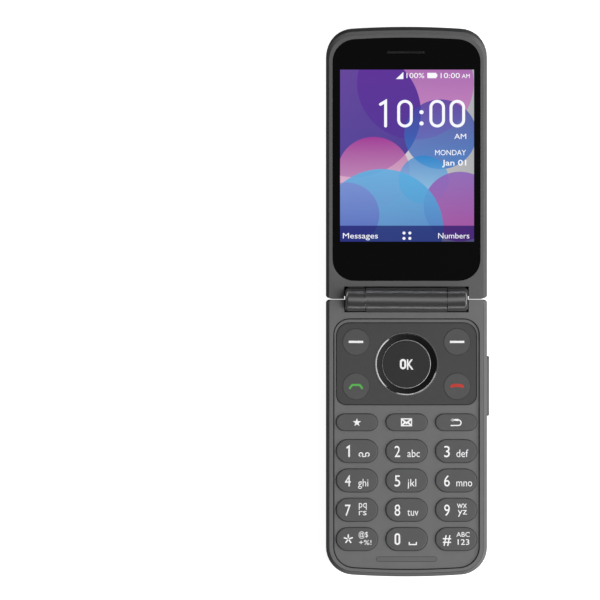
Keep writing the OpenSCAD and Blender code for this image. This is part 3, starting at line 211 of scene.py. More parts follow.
def grained(name, colour, spread, grain, rough, rough_spread, relief, specular=PLAIN_SPECULAR, sockets=None):
    """A finish whose colour, gloss and relief vary with one fine grain.

    spread is how far the shade varies to each side and rough_spread how far the roughness does. The
    grain's size and the relief's depth are in millimetres. sockets holds further shader values.
    """
    made, tree, shader = finish(name)
    size = grain * MM
    place = add(tree, "ShaderNodeTexCoord").outputs["Object"]
    fine = add(tree, "ShaderNodeTexNoise", {
        "Vector": place, "Scale": 1 / size, "Detail": 3.0, "Roughness": 0.6}).outputs["Fac"]
    cloud = add(tree, "ShaderNodeTexNoise", {
        "Vector": place, "Scale": 1 / (CLOUD_TO_GRAIN * size), "Detail": 2.0}).outputs["Fac"]
    both = add(tree, "ShaderNodeMath", {0: fine, 1: cloud}, operation="ADD")
    shade = add(tree, "ShaderNodeMapRange", {
        "Value": both.outputs[0], "From Min": 2 * NOISE_LOW, "From Max": 2 * NOISE_HIGH,
        "To Min": 1 - spread, "To Max": 1 + spread})
    tint = add(tree, "ShaderNodeMix", {0: 1.0, 6: linear(colour), 7: shade.outputs[0]}, data_type="RGBA",
               blend_type="MULTIPLY")
    tree.links.new(tint.outputs[2], shader.inputs["Base Color"])
    gloss = add(tree, "ShaderNodeMapRange", {
        "Value": fine, "From Min": NOISE_LOW, "From Max": NOISE_HIGH,
        "To Min": rough - rough_spread, "To Max": rough + rough_spread})
    tree.links.new(gloss.outputs[0], shader.inputs["Roughness"])
    bumps = add(tree, "ShaderNodeBump", {"Height": fine, "Strength": 1.0, "Distance": relief * MM})
    tree.links.new(bumps.outputs[0], shader.inputs["Normal"])
    shader.inputs["Specular IOR Level"].default_value = specular
    for socket, value in (sockets or {}).items():
        shader.inputs[socket].default_value = value
    return made


# Satin paint on moulded polycarbonate: a fine even grain that takes the shine off
shell_paint = grained(
    "satin_paint_on_polycarbonate", "#6a6a6b", spread=0.05, grain=0.12, rough=0.46, rough_spread=0.05,
    relief=0.004, specular=0.35)

# The lid's frame has the same paint, a little glossier, and a tone darker as painted shade for the tilted lid
frame_paint_with_painted_shade = grained(
    "satin_paint_on_lid_frame_with_painted_shade", "#5b5b5c", spread=0.05, grain=0.12, rough=0.42, rough_spread=0.05,
    relief=0.004, specular=0.35)

# The barrel's knuckles are darker and glossier: lacquer over the paint
barrel_lacquer = grained(
    "lacquered_barrel_paint", "#363637", spread=0.05, grain=0.12, rough=0.34, rough_spread=0.04,
    relief=0.001, specular=0.9, sockets={"Coat Weight": 1.0, "Coat Roughness": 0.27, "Coat IOR": 1.6})

# Soft-touch paint: a matt rubbery skin with a faint bloom at the edges
cover_paint = grained(
    "soft_touch_paint", "#494b4d", spread=0.04, grain=0.10, rough=0.58, rough_spread=0.04, relief=0.003,
    specular=0.3, sockets={"Sheen Weight": 0.05})

# Fine-textured ABS of the navigation panel
panel_abs = grained(
    "fine_textured_abs", "#484848", spread=0.04, grain=0.10, rough=0.5, rough_spread=0.04, relief=0.003,
    specular=0.15)

# Key caps: painted polycarbonate with a satin top coat, which holds the print
key_coat = grained(
    "coated_key_polycarbonate", "#545455", spread=0.04, grain=0.10, rough=0.42, rough_spread=0.04,
    relief=0.002, specular=0.35)

# The round keys beside the ring are a tone lighter than the panel round them
round_key_coat = grained(
    "coated_round_key_polycarbonate", "#545454", spread=0.04, grain=0.10, rough=0.5, rough_spread=0.04,
    relief=0.002, specular=0.15)

# Centre key: dark satin top coat
ok_coat = grained(
    "coated_centre_key", "#303031", spread=0.04, grain=0.10, rough=0.45, rough_spread=0.04,
    relief=0.002, specular=0.15)

# Piano black: black ABS under clear lacquer, smooth but for a slight orange peel
piano_black = grained(
    "piano_black_lacquer", "#141415", spread=0.10, grain=0.6, rough=0.22, rough_spread=0.02,
    relief=0.001, sockets={"Coat Weight": 1.0, "Coat Roughness": 0.14, "Coat IOR": 1.75})

# The ring's dish is black ABS left satin, between the lacquered lip and the centre key
dish_black = grained(
    "satin_black_abs", "#101011", spread=0.10, grain=0.3, rough=0.30, rough_spread=0.03, relief=0.001,
    specular=0.35)

# Silicone rubber: matt, slightly dusty
pad_rubber = grained(
    "silicone_rubber", "#686868", spread=0.05, grain=0.15, rough=0.7, rough_spread=0.05, relief=0.003,
    specular=0.2)

# Black moulded ABS of the inner holders. It is also laid on the housing's groove floors as painted shade
black_abs_and_painted_shade = grained(
    "black_moulded_abs_and_painted_shade", "#1c1c1e", spread=0.08, grain=0.15, rough=0.5, rough_spread=0.06, relief=0.003)

# Stainless steel wire and plated sheet: fine drawing marks and a cool grey
bare_steel = grained(
    "brushed_stainless_steel", "#a8aaac", spread=0.08, grain=0.08, rough=0.34, rough_spread=0.08,
    relief=0.001, sockets={"Metallic": 1.0})
dark_wire = grained(
    "blackened_steel_wire", "#58585a", spread=0.10, grain=0.05, rough=0.4, rough_spread=0.08,
    relief=0.001, sockets={"Metallic": 1.0})

# Polyimide flex circuit: amber film over copper
amber_film = grained(
    "polyimide_film", "#b4702a", spread=0.12, grain=0.5, rough=0.3, rough_spread=0.05, relief=0.002)

# Heat-shrunk film round the cell: dark, slightly wavy
cell_wrap = grained(
    "battery_shrink_film", "#2e2e31", spread=0.10, grain=1.5, rough=0.4, rough_spread=0.06, relief=0.02)

# Black-printed glass, polished: nearly all of what shows is the print behind it
printed_glass = grained(
    "black_printed_glass", "#0b0b0c", spread=0.06, grain=0.8, rough=0.05, rough_spread=0.01,
    relief=0.0002, specular=0.35, sockets={"IOR": 1.5})

# Hard-coated acrylic window over the outer display, printed black with a grey cast
printed_acrylic = grained(
    "black_printed_acrylic", "#131415", spread=0.06, grain=0.8, rough=0.08, rough_spread=0.02,
    relief=0.0003, specular=0.12)


def printed_ink(name, colour, spread=0.06, rough=0.45):
    """Screen-printed ink: opaque, faintly uneven, with a soft sheen."""
    return grained(name, colour, spread, grain=0.08, rough=rough, rough_spread=0.05, relief=0.001)


white_ink = printed_ink("white_printed_ink", "#f4f4f4", spread=0.03)
green_ink = printed_ink("green_printed_ink", "#55b04c")
red_ink = printed_ink("red_printed_ink", "#b8342c")
# The silver ink prints the quick-dial key's sign and also the painted highlight round the centre key
silver_ink_and_painted_highlight = printed_ink("silver_printed_ink_and_painted_highlight", "#c4c6c8", rough=0.35)

TRACK_ROW = 0.8         # spacing of the tracks, in millimetres
BRICK_ROW = 0.25        # a brick pattern's rows are this share of its unit
COATING_CLOUD = 3.0     # size of the coating's slow change of tone, in millimetres
FLASH_STEP = 2.827      # spacing of the flash lens's moulded steps, in millimetres
WAVE_REPEAT = 2 * math.pi / 20      # a wave pattern repeats after this share of its unit


def board_finish():
    """Solder mask over copper tracks, which show as lighter green lines in rows."""
    made, tree, shader = finish("green_solder_mask")
    place = add(tree, "ShaderNodeTexCoord").outputs["Object"]
    tracks = add(tree, "ShaderNodeTexBrick", {
        "Vector": place, "Scale": BRICK_ROW / (TRACK_ROW * MM), "Mortar Size": 0.06,
        "Color1": linear("#17553a"), "Color2": linear("#1b5f40"), "Mortar": linear("#2c7a52")})
    tree.links.new(tracks.outputs["Color"], shader.inputs["Base Color"])
    relief = add(tree, "ShaderNodeBump", {"Height": tracks.outputs["Fac"], "Distance": 0.03 * MM})
    tree.links.new(relief.outputs[0], shader.inputs["Normal"])
    shader.inputs["Roughness"].default_value = 0.35
    return made


def lens_finish():
    """Coated camera glass: black with a violet cast from its coating."""
    made, tree, shader = finish("coated_lens_glass")
    place = add(tree, "ShaderNodeTexCoord").outputs["Object"]
    bloom = add(tree, "ShaderNodeTexNoise", {
        "Vector": place, "Scale": 1 / (COATING_CLOUD * MM), "Detail": 1.0})
    cast = mixed_in(tree, linear("#0a0a0e"), linear("#14121c"), bloom.outputs["Fac"])
    tree.links.new(cast, shader.inputs["Base Color"])
    shader.inputs["Roughness"].default_value = 0.03
    shader.inputs["Specular IOR Level"].default_value = 0.12
    return made


def flash_finish():
    """Moulded acrylic over a yellow phosphor, with soft light and dark steps across it."""
    made, tree, shader = finish("moulded_flash_acrylic")
    place = add(tree, "ShaderNodeTexCoord").outputs["Object"]
    steps = add(tree, "ShaderNodeTexWave",
                {"Vector": place, "Scale": WAVE_REPEAT / (FLASH_STEP * MM), "Distortion": 0.0},
                wave_type="RINGS", rings_direction="SPHERICAL")
    tone = mixed_in(tree, linear("#aab377"), linear("#dfe6c4"), steps.outputs["Fac"])
    tree.links.new(tone, shader.inputs["Base Color"])
    shader.inputs["Roughness"].default_value = 0.2
    return made


solder_mask = board_finish()
lens_glass = lens_finish()
flash_acrylic = flash_finish()


# ---------- making pieces ----------

def shown(name, mesh, body, materials, stands_for=()):
    """Puts a finished mesh in the scene, riding on a body of the frame."""
    piece = bpy.data.objects.new(name, mesh)
    scene.collection.objects.link(piece)
    mesh.materials.clear()
    for made in materials:
        mesh.materials.append(made)
    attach(piece, body)
    if stands_for:
        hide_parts(*stands_for)
    return piece


def baked(piece):
    """The evaluated mesh of an object, which is then removed."""
    evaluated = piece.evaluated_get(bpy.context.evaluated_depsgraph_get())
    mesh = bpy.data.meshes.new_from_object(evaluated)
    bpy.data.objects.remove(piece)
    return mesh


SMOOTH_ANGLE = math.radians(34)
MERGE_WITHIN = 0.001 * MM


def smoothed(mesh, sharpest=SMOOTH_ANGLE):
    """Rounds the shading over shallow angles and keeps flat faces flat."""
    mesh.polygons.foreach_set("use_smooth", [True] * len(mesh.polygons))
    mesh.set_sharp_from_angle(angle=sharpest)
    piece = bpy.data.objects.new("smoothing", mesh)
    scene.collection.objects.link(piece)
    even = piece.modifiers.new("even", "WEIGHTED_NORMAL")
    even.keep_sharp = True
    return baked(piece)


def copy_of(node):
    """A node's mesh with its loose triangles joined and its curves smooth."""
    mesh = nodes[node].data.copy()
    shape = bmesh.new()
    shape.from_mesh(mesh)
    bmesh.ops.remove_doubles(shape, verts=shape.verts, dist=MERGE_WITHIN)
    shape.to_mesh(mesh)
    shape.free()
    for old in [a.name for a in mesh.attributes if a.name == "custom_normal"]:
        mesh.attributes.remove(mesh.attributes[old])
    return smoothed(mesh)


def dressed(node, made):
    """Stands a smooth copy of a node in its place, with its finish."""
    return shown(node + "_finished", copy_of(node), body_of[node], [made], [node])


def refinished(piece, made, chosen):
    """A further finish on the faces that a test of their middle and normal chooses."""
    piece.data.materials.append(made)
    for face in piece.data.polygons:
        if chosen(face.center, face.normal):
            face.material_index = len(piece.data.materials) - 1


NUMBER_KEYS = ["key_1", "key_2", "key_3", "key_4", "key_5", "key_6", "key_7", "key_8", "key_9",
               "key_star", "key_0", "key_hash"]
FUNCTION_KEYS = ["favourites_key", "messages_key", "back_key"]
ROUND_KEYS = ["soft_key_left", "soft_key_right", "call_key", "end_key"]

for node in ("rear_housing", "back_cover", "volume_key"):
    dressed(node, shell_paint)
base_front = dressed("front_housing", shell_paint)
lid_front = dressed("lid_frame", frame_paint_with_painted_shade)
dressed("lid_cover", cover_paint)
dressed("camera_trim", cover_paint)
dressed("nav_panel", panel_abs)
dressed("face_pad", pad_rubber)
for node in NUMBER_KEYS + FUNCTION_KEYS:
    dressed(node, key_coat)
for node in ROUND_KEYS:
    dressed(node, round_key_coat)
dressed("ok_key", ok_coat)
dressed("display_glass", printed_glass)
dressed("cover_window", printed_acrylic)
dressed("flash_lens", flash_acrylic)

# What lies inside keeps its own mesh
INNER_NODES = (
    (bare_steel, ["dome_sheet", "shield_cans", "sim_socket", "usb_socket", "microphone", "vibration_motor",
                  "housing_screws", "hinge_cartridge", "pivot_sleeve", "hinge_shaft", "hall_magnet"]),
    (solder_mask, ["main_board", "lid_board", "volume_switches"]),
    (black_abs_and_painted_shade, ["loudspeaker", "antenna_carrier", "nav_ring_carrier", "camera_module", "earpiece"]),
    (printed_glass, ["main_display", "cover_display"]),
    (pad_rubber, ["keypad_mat"]),
    (cell_wrap, ["battery_pack"]),
    (amber_film, ["hinge_flex"]),
)
for made, members in INNER_NODES:
    for node in members:
        nodes[node].data.materials.clear()
        nodes[node].data.materials.append(made)


# ---------- places on the base and the lid ----------

hinge = next(joint for joint in frame["joints"] if joint["name"] == "flip_hinge")
hinge_at = Vector(hinge["pos_m"])
lid_tilt = math.radians(180 - hinge["range_deg"][1])
inner_side = Matrix.Translation(hinge_at) @ Matrix.Rotation(lid_tilt, 4, "X")
outer_side = inner_side @ Matrix.Rotation(math.pi, 4, "X")


def at(x, y, z=0.0):
    """A place in millimetres."""
    return Matrix.Translation((x * MM, y * MM, z * MM))


def middle_of(low, high):
    """The middle of a box, at its top."""
    return Matrix.Translation(((low.x + high.x) / 2, (low.y + high.y) / 2, high.z))


def lid_reach(node, side):
    """A lid node's box seen along one side of the lid: lowest and highest corner in that side's frame."""
    corners = [side.inverted() @ v.co for v in nodes[node].data.vertices]
    return (Vector([min(v[i] for v in corners) for i in range(3)]),
            Vector([max(v[i] for v in corners) for i in range(3)]))


# ---------- further finishes on base and lid ----------

LEVEL = 0.9                     # the normal of a level face points up at least this much
GROOVE_BELOW, GROOVE_ABOVE = 0.2, 0.22
KNUCKLE_END = 22.2              # half the barrel's length, with a little room
BASE_KNUCKLE_REACH = 4.5        # a radius that reaches just past the base's knuckle
LID_KNUCKLE_REACH = 4.35        # and one past the lid's knuckles
CORNER_LEAST, CORNER_MOST = 0.92, 0.965     # how far the softened corner's normals point up
CORNER_BAND = 0.3
CORNER_FROM_HINGE = 3.2

# The floors of the grooves round the recess and the navigation panel are painted black: painted shade standing in
# for the shadow of a deep gap
groove_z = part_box("nav_panel")[0].z
refinished(base_front, black_abs_and_painted_shade, lambda middle, normal: normal.z > LEVEL
           and groove_z - GROOVE_BELOW * MM < middle.z < groove_z + GROOVE_ABOVE * MM)

for piece, reach in ((base_front, BASE_KNUCKLE_REACH), (lid_front, LID_KNUCKLE_REACH)):
    refinished(piece, barrel_lacquer, lambda middle, normal: abs(middle.x) < KNUCKLE_END * MM
               and math.hypot(middle.y - hinge_at.y, middle.z - hinge_at.z) < reach * MM)

# A fine dark line where the base's slanted edge meets its face, along the softened corner there
refinished(base_front, black_abs_and_painted_shade, lambda middle, normal: CORNER_LEAST < normal.z < CORNER_MOST
           and abs(middle.z - hinge_at.z) < CORNER_BAND * MM
           and abs(middle.y - hinge_at.y) > CORNER_FROM_HINGE * MM)


# ---------- print ----------

INK = 0.015 * MM    # half the height of a printed mark
CAP_SHARE = 0.729   # cap height of the built-in typeface, as a share of its size


def flat_shape(loops):
    """A thin plate from closed loops of points in millimetres. A loop inside another is a hole."""
    curve = bpy.data.curves.new("plate", "CURVE")
    curve.dimensions = "2D"
    curve.fill_mode = "BOTH"
    curve.extrude = INK
    for loop in loops:
        line = curve.splines.new("POLY")
        line.points.add(len(loop) - 1)
        for point, (x, y) in zip(line.points, loop):
            point.co = (x * MM, y * MM, 0, 1)
        line.use_cyclic_u = True
    piece = bpy.data.objects.new("plate", curve)
    scene.collection.objects.link(piece)
    return baked(piece)


def lettering(words, height, squeeze=1.0, weight=0.0):
    """Letters as a thin plate: height is the capitals' height in millimetres."""
    curve = bpy.data.curves.new("letters", "FONT")
    curve.body = words
    curve.size = height * MM / CAP_SHARE
    curve.align_x = "CENTER"
    curve.offset = weight * MM
    curve.extrude = INK
    curve.resolution_u = 4
    piece = bpy.data.objects.new("letters", curve)
    scene.collection.objects.link(piece)
    mesh = baked(piece)
    mesh.transform(Matrix.Diagonal((squeeze, 1, 1, 1)))
    return mesh


def fitted(words, height, left, width, weight=0.0):
    """Letters squeezed to a width and placed from a left edge, in millimetres."""
    mesh = lettering(words, height, weight=weight)
    xs = [v.co.x for v in mesh.vertices]
    squeeze = width * MM / (max(xs) - min(xs))
    start = Matrix.Translation((left * MM - min(xs) * squeeze, 0, 0))
    mesh.transform(start @ Matrix.Diagonal((squeeze, 1, 1, 1)))
    return mesh


def arc(x, y, radius, start, end, steps=10):
    """Points on an arc, in millimetres and degrees."""
    angles = [math.radians(start + (end - start) * i / steps) for i in range(steps + 1)]
    return [(x + radius * math.cos(angle), y + radius * math.sin(angle)) for angle in angles]


def disc(x, y, radius, steps):
    """The outline of a full circle."""
    return arc(x, y, radius, 0, 360, steps)[:-1]


def oblong(width, height):
    """The outline of a rectangle round the middle."""
    w, h = width / 2, height / 2
    return [(-w, -h), (w, -h), (w, h), (-w, h)]


def stroke(points, width):
    """The outline of a pen line of even width with round ends."""
    path = [Vector(p) for p in points]
    half = width / 2
    ways = [(b - a).normalized() for a, b in zip(path, path[1:])]
    left, right = [], []
    for i, p in enumerate(path):
        before, after = ways[max(i - 1, 0)], ways[min(i, len(ways) - 1)]
        way = (before + after).normalized()
        side = Vector((-way.y, way.x)) * half / max(way.dot(after), 0.5)
        left.append(p + side)
        right.append(p - side)

    def end_cap(tip, way):
        turn = math.degrees(math.atan2(way.y, way.x))
        return [Vector(q) for q in arc(tip.x, tip.y, half, turn + 90, turn - 90, 8)][1:-1]

    loop = left + end_cap(path[-1], ways[-1]) + right[::-1] + end_cap(path[0], -ways[0])
    return [(p.x, p.y) for p in loop]


def pill_loop(width, height, x, y):
    """The outline of a standing pill, for the digit 0."""
    r = width / 2
    return arc(x, y + height / 2 - r, r, 0, 180, 14) + arc(x, y - height / 2 + r, r, 180, 360, 14)


def zero(width, height, pen, x, y):
    """A 0 drawn with a pen of even width, round its middle."""
    return [pill_loop(width, height, x, y), pill_loop(width - 2 * pen, height - 2 * pen, x, y)]


FLAG_DROP = 0.4     # how far a 1's flag comes down, as a share of its width


def one(width, height, pen, x, y):
    """A 1 drawn with a pen of even width, round its middle."""
    stem = x + width / 2 - pen / 2
    foot, head = y - height / 2 + pen / 2, y + height / 2 - pen / 2
    return [stroke([(stem, foot), (stem, head), (x - width / 2 + pen / 2, head - width * FLAG_DROP)], pen)]


def joined(parts):
    """One mesh from several, each given with its place."""
    shape = bmesh.new()
    for mesh, place in parts:
        moved = mesh.copy()
        moved.transform(place)
        shape.from_mesh(moved)
    mesh = bpy.data.meshes.new("joined")
    shape.to_mesh(mesh)
    shape.free()
    return mesh


def printed(name, marks, seat, body, ink):
    """Marks, each with its place on a face in millimetres, printed on the seat of a body."""
    mesh = joined([(mark, seat @ at(x, y)) for mark, x, y in marks])
    return shown(name, mesh, body, [ink])


def drawn(loops, x=0.0, y=0.0):
    """A mark drawn from loops, with its place."""
    return (flat_shape(loops), x, y)


def words_on(words, height, left, width, foot, weight=0.0):
    """A mark of letters from a left edge and a foot, with its place."""
    return (fitted(words, height, left, width, weight), 0, foot)


def print_key(key, marks, ink=white_ink):
    """Marks printed on a key, placed from the middle of its top."""
    seat = middle_of(*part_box(key))
    printed(key + "_print", marks, seat, key, ink)


# ---------- print on the number keys ----------

# Sizes and places in millimetres, from the middle of a key's top
DIGIT_H, DIGIT_W = 4.23, 2.05
DIGIT_PEN = 0.62
DIGIT_X, DIGIT_FOOT = -3.28, -2.13
DIGIT_WEIGHT = 0.02
ONE_W, ONE_SHIFT = 1.35, 0.1
LETTER_H = 2.85
SMALL_WEIGHT = 0.01


def digit(number):
    """A digit of a number key, with its place on the key."""
    middle_y = DIGIT_FOOT + DIGIT_H / 2
    if number == 0:
        return drawn(zero(DIGIT_W, DIGIT_H, DIGIT_PEN, DIGIT_X, middle_y))
    if number == 1:
        return drawn(one(ONE_W, DIGIT_H, DIGIT_PEN, DIGIT_X + ONE_SHIFT, middle_y))
    return words_on(str(number), DIGIT_H, DIGIT_X - DIGIT_W / 2, DIGIT_W, DIGIT_FOOT, DIGIT_WEIGHT)


def voicemail_sign():
    """Two rings on a line."""
    spools = (1.45, 3.75)
    rings = [drawn([disc(x, -1.25, 0.85, 24), disc(x, -1.25, 0.47, 24)]) for x in spools]
    return rings + [drawn([stroke([(x, -1.94) for x in spools], 0.34)])]


def asterisk(x, radius, pen):
    """Five spokes from one point."""
    tips = [(x + radius * math.sin(math.radians(a)), radius * math.cos(math.radians(a)))
            for a in range(0, 360, 72)]
    return [drawn([stroke([(x, 0), tip], pen)]) for tip in tips]


# Each number's letters: words, capitals' height, left edge, width and foot
KEY_LETTERS = {
    2: [("abc", LETTER_H, 0.3, 4.5, DIGIT_FOOT)],
    3: [("def", LETTER_H, 0.1, 4.3, DIGIT_FOOT)],
    4: [("ghi", LETTER_H, 0.4, 3.7, DIGIT_FOOT)],
    5: [("jkl", LETTER_H, 0.3, 3.2, DIGIT_FOOT)],
    6: [("mno", LETTER_H, 0.1, 5.7, DIGIT_FOOT)],
    7: [("pq", 2.6, 0.7, 2.8, 0.8), ("rs", 2.45, 0.7, 2.75, -1.95)],
    8: [("tuv", LETTER_H, 0.3, 4.0, DIGIT_FOOT)],
    9: [("wx", 2.6, 0.3, 3.6, 0.6), ("yz", 2.6, 0.6, 3.3, -1.7)],
}
for number in range(1, 10):
    marks = [digit(number)] + [words_on(*line) for line in KEY_LETTERS.get(number, [])]
    if number == 1:
        marks += voicemail_sign()
    print_key(f"key_{number}", marks)

print_key("key_star", asterisk(-3.1, 1.5, 0.5)
          + [words_on("@$", 2.0, 0.6, 3.4, 0.75, SMALL_WEIGHT),
             words_on("+%!", 1.8, 0.75, 4.5, -2.06, SMALL_WEIGHT)])
space_sign = stroke([(1.0, -1.2), (1.0, -1.95), (3.55, -1.95), (3.55, -1.2)], 0.42)
print_key("key_0", [digit(0), drawn([space_sign])])
print_key("key_hash", [words_on("#", 3.9, DIGIT_X - 1.5, 3.0, -1.95, 0.04),
                       words_on("ABC", 1.77, 0.1, 4.8, 0.83, SMALL_WEIGHT),
                       words_on("123", 2.1, 0.56, 4.2, -2.06, 0.02)])


# ---------- signs on the other keys ----------

SIGN_PEN = 0.42
STAR_TIP, STAR_NOTCH = 1.6, 0.65

star = [(r * math.sin(math.radians(36 * i)), r * math.cos(math.radians(36 * i)))
        for i, r in enumerate([STAR_TIP, STAR_NOTCH] * 5)]
print_key("favourites_key", [drawn([star], y=-0.1)])

# An envelope: a plate with its four folds left open
envelope = [
    [(-2.0, -1.45), (2.0, -1.45), (2.0, 1.45), (-2.0, 1.45)],
    [(-1.15, 1.0), (1.15, 1.0), (0, 0.15)],
    [(-1.15, -1.0), (1.15, -1.0), (0.5, -0.45), (0, -0.75), (-0.5, -0.45)],
    [(-1.6, 0.65), (-1.6, -0.65), (-0.85, 0.05)],
    [(1.6, 0.65), (1.6, -0.65), (0.85, 0.05)],
]
print_key("messages_key", [drawn(envelope)])

# A back arrow: a hook and its head
hook = [(-1.5, 0.85), (0.8, 0.85)] + arc(0.8, -0.15, 1.0, 90, -90, 8) + [(-1.8, -1.15)]
arrow_head = [(-2.0, 0.85), (-1.1, 1.5), (-1.1, 0.2)]
print_key("back_key", [drawn([stroke(hook, SIGN_PEN)]), drawn([arrow_head])])

for node in ("soft_key_left", "soft_key_right"):
    print_key(node, [drawn([oblong(5.2, 0.8)])])

# The call key's handset is arched, and the end key's lies flat with a thicker pen
handset = [(-2.2, -0.75), (-1.35, 0.4), (1.35, 0.4), (2.2, -0.75)]
flat_handset = [(-1.9, -0.1), (-1.0, 0.25), (1.0, 0.25), (1.9, -0.1)]
print_key("call_key", [drawn([stroke(handset, 0.75)], y=0.1)], green_ink)
print_key("end_key", [drawn([stroke(flat_handset, 1.15)], y=0.1)], red_ink)

OK_LETTER_H = 3.74
print_key("ok_key", [drawn(zero(2.3, OK_LETTER_H, 0.72, -1.25, 0)),
                     words_on("K", OK_LETTER_H, 0.15, 2.35, -1.87, 0.1)])


# ---------- navigation ring ----------

TURN_STEPS = 128


def turned(profile, centre, closed=True, sharpest=SMOOTH_ANGLE):
    """A ring or disc turned about +Z from a profile of (radius, height) in millimetres.

    The profile closes on itself, or starts and ends on the axis where closed is False.
    """
    shape = bmesh.new()
    rings = []
    for r, z in profile:
        if r == 0:
            rings.append([shape.verts.new((0, 0, z * MM))])
            continue
        rings.append([shape.verts.new((r * MM * math.cos(2 * math.pi * i / TURN_STEPS),
                                       r * MM * math.sin(2 * math.pi * i / TURN_STEPS), z * MM))
                      for i in range(TURN_STEPS)])
    pairs = list(zip(rings, rings[1:] + rings[:1])) if closed else list(zip(rings, rings[1:]))
    for a, b in pairs:
        for i in range(TURN_STEPS):
            j = (i + 1) % TURN_STEPS
            corners = []
            for v in (a[i % len(a)], a[j % len(a)], b[j % len(b)], b[i % len(b)]):
                if v not in corners:
                    corners.append(v)
            if len(corners) > 2:
                shape.faces.new(corners)
    bmesh.ops.recalc_face_normals(shape, faces=shape.faces)
    mesh = bpy.data.meshes.new("turned")
    shape.to_mesh(mesh)
    shape.free()
    mesh.transform(centre)
    return smoothed(mesh, sharpest)


# Radii and heights in millimetres. The flange is the hidden rim that the base holds down
ring_low, ring_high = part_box("nav_ring")
nav_x, nav_y = (ring_low.x + ring_high.x) / 2, (ring_low.y + ring_high.y) / 2
nav_at = Matrix.Translation((nav_x, nav_y, 0))
ring_top, flange_z = ring_high.z / MM, ring_low.z / MM
flange_r = (ring_high.x - ring_low.x) / 2 / MM
FLANGE_PAST_RING = 1.05
FLANGE_THICK = 0.4
FLANGE_GAP = 0.1        # from the centre key to the flange
RING_R = flange_r - FLANGE_PAST_RING
OK_R = 8.7
OK_GAP = 0.2            # from the centre key to the ring
LIP = 0.42
LIP_DROP = 0.3
DISH = 0.68
RING_EDGE = 0.03
DISH_EDGE = 0.06        # width of the dish's softened inner edge
RING_SHARPEST = math.radians(18)

flange_top = flange_z + FLANGE_THICK
dish_foot = OK_R + OK_GAP
ring_profile = [
    (OK_R + FLANGE_GAP, flange_z), (flange_r, flange_z), (flange_r, flange_top), (RING_R, flange_top),
    (RING_R, ring_top - RING_EDGE), (RING_R - RING_EDGE, ring_top), (RING_R - LIP, ring_top - LIP_DROP),
    (dish_foot + DISH_EDGE, ring_top - DISH + 0.01), (dish_foot, ring_top - DISH - 0.05),
    (dish_foot, flange_top), (OK_R + FLANGE_GAP, flange_top),
]
ring = shown("nav_ring_lacquered", turned(ring_profile, nav_at, sharpest=RING_SHARPEST), "nav_ring",
             [piano_black], ["nav_ring"])
refinished(ring, dish_black, lambda middle, normal: normal.z > LEVEL
           and math.hypot(middle.x - nav_x, middle.y - nav_y) < (RING_R - LIP) * MM)

# A thin silver ring on the centre key's bevel: a painted highlight of the bevel's edge
HIGHLIGHT_INNER, HIGHLIGHT_OUTER = OK_R - 0.12, OK_R - 0.02
ok_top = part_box("ok_key")[1].z / MM
highlight_foot = ok_top - 0.2
highlight_profile = [(HIGHLIGHT_INNER, highlight_foot), (HIGHLIGHT_OUTER, highlight_foot), (HIGHLIGHT_OUTER, ok_top - 0.12),
               (HIGHLIGHT_INNER, ok_top - 0.06)]
shown("ok_key_painted_rim_highlight", turned(highlight_profile, nav_at), "ok_key", [silver_ink_and_painted_highlight])


# ---------- lit finishes of the displays ----------

def lit_panel(name):
    """A lit picture behind clear glass: black when off, with its own light."""
    made, tree, shader = finish(name)
    shader.inputs["Base Color"].default_value = linear("#060607")
    shader.inputs["Roughness"].default_value = 0.08
    shader.inputs["Specular IOR Level"].default_value = 0.04
    shader.inputs["Emission Strength"].default_value = 1.0
    return made, tree, shader


# The wallpaper's places are in millimetres from the display's middle
PAPER_SIDE = 24.0
SHEET_EDGE = 0.08
BAR_TOP, BAR_EDGE, BAR_COVER = -26.1, 0.1, 0.85
# Each round sheet: middle, radius, colours at its foot and head, how much it covers
ROUND_SHEETS = [
    ((3, 27), 21, "#d08bc4", "#8d4aa3", 0.95), ((-19, 16), 24, "#3b2c92", "#5c2f96", 0.95),
    ((12, 8), 13, "#2b78c4", "#4a3a9c", 0.85), ((-12, -6), 13, "#e6b6d6", "#b23a94", 0.75),
    ((6, -9), 9, "#8cc8ea", "#1f86cc", 0.8), ((19, -19), 13, "#a53a98", "#8d62b8", 0.9),
    ((-9, -27), 22, "#2c49a8", "#59b0e0", 0.9), ((-22, -22), 12, "#4a55b4", "#7d84cc", 0.7),
]


def wallpaper_finish():
    """Overlapping round sheets of colour on pale paper, with a dark bar along the foot."""
    made, tree, shader = lit_panel("lit_main_display")
    chart = add(tree, "ShaderNodeUVMap", uv_map="millimetres").outputs["UV"]
    across, up, _ = add(tree, "ShaderNodeSeparateXYZ", {"Vector": chart}).outputs
    over = add(tree, "ShaderNodeMapRange", {"Value": across, "From Min": -PAPER_SIDE, "From Max": PAPER_SIDE})
    paper = mixed_in(tree, linear("#e9dfe6"), linear("#aeb0b2"), over.outputs[0])
    for (x, y), radius, foot_colour, head_colour, cover in ROUND_SHEETS:
        away = add(tree, "ShaderNodeVectorMath", {0: chart, 1: (x, y, 0)}, operation="DISTANCE")
        inside = add(tree, "ShaderNodeMapRange", {
            "Value": away.outputs["Value"], "From Min": radius + SHEET_EDGE, "From Max": radius - SHEET_EDGE,
            "To Max": cover})
        blend = add(tree, "ShaderNodeMapRange", {"Value": up, "From Min": y - radius, "From Max": y + radius})
        colour = mixed_in(tree, linear(foot_colour), linear(head_colour), blend.outputs[0])
        paper = mixed_in(tree, paper, colour, inside.outputs[0])
    bar = add(tree, "ShaderNodeMapRange", {
        "Value": up, "From Min": BAR_TOP, "From Max": BAR_TOP - BAR_EDGE, "To Max": BAR_COVER})
    paper = mixed_in(tree, paper, linear("#1f1a6e"), bar.outputs[0])
    tree.links.new(paper, shader.inputs["Emission Color"])
    return made


LIT_CELL = 0.2


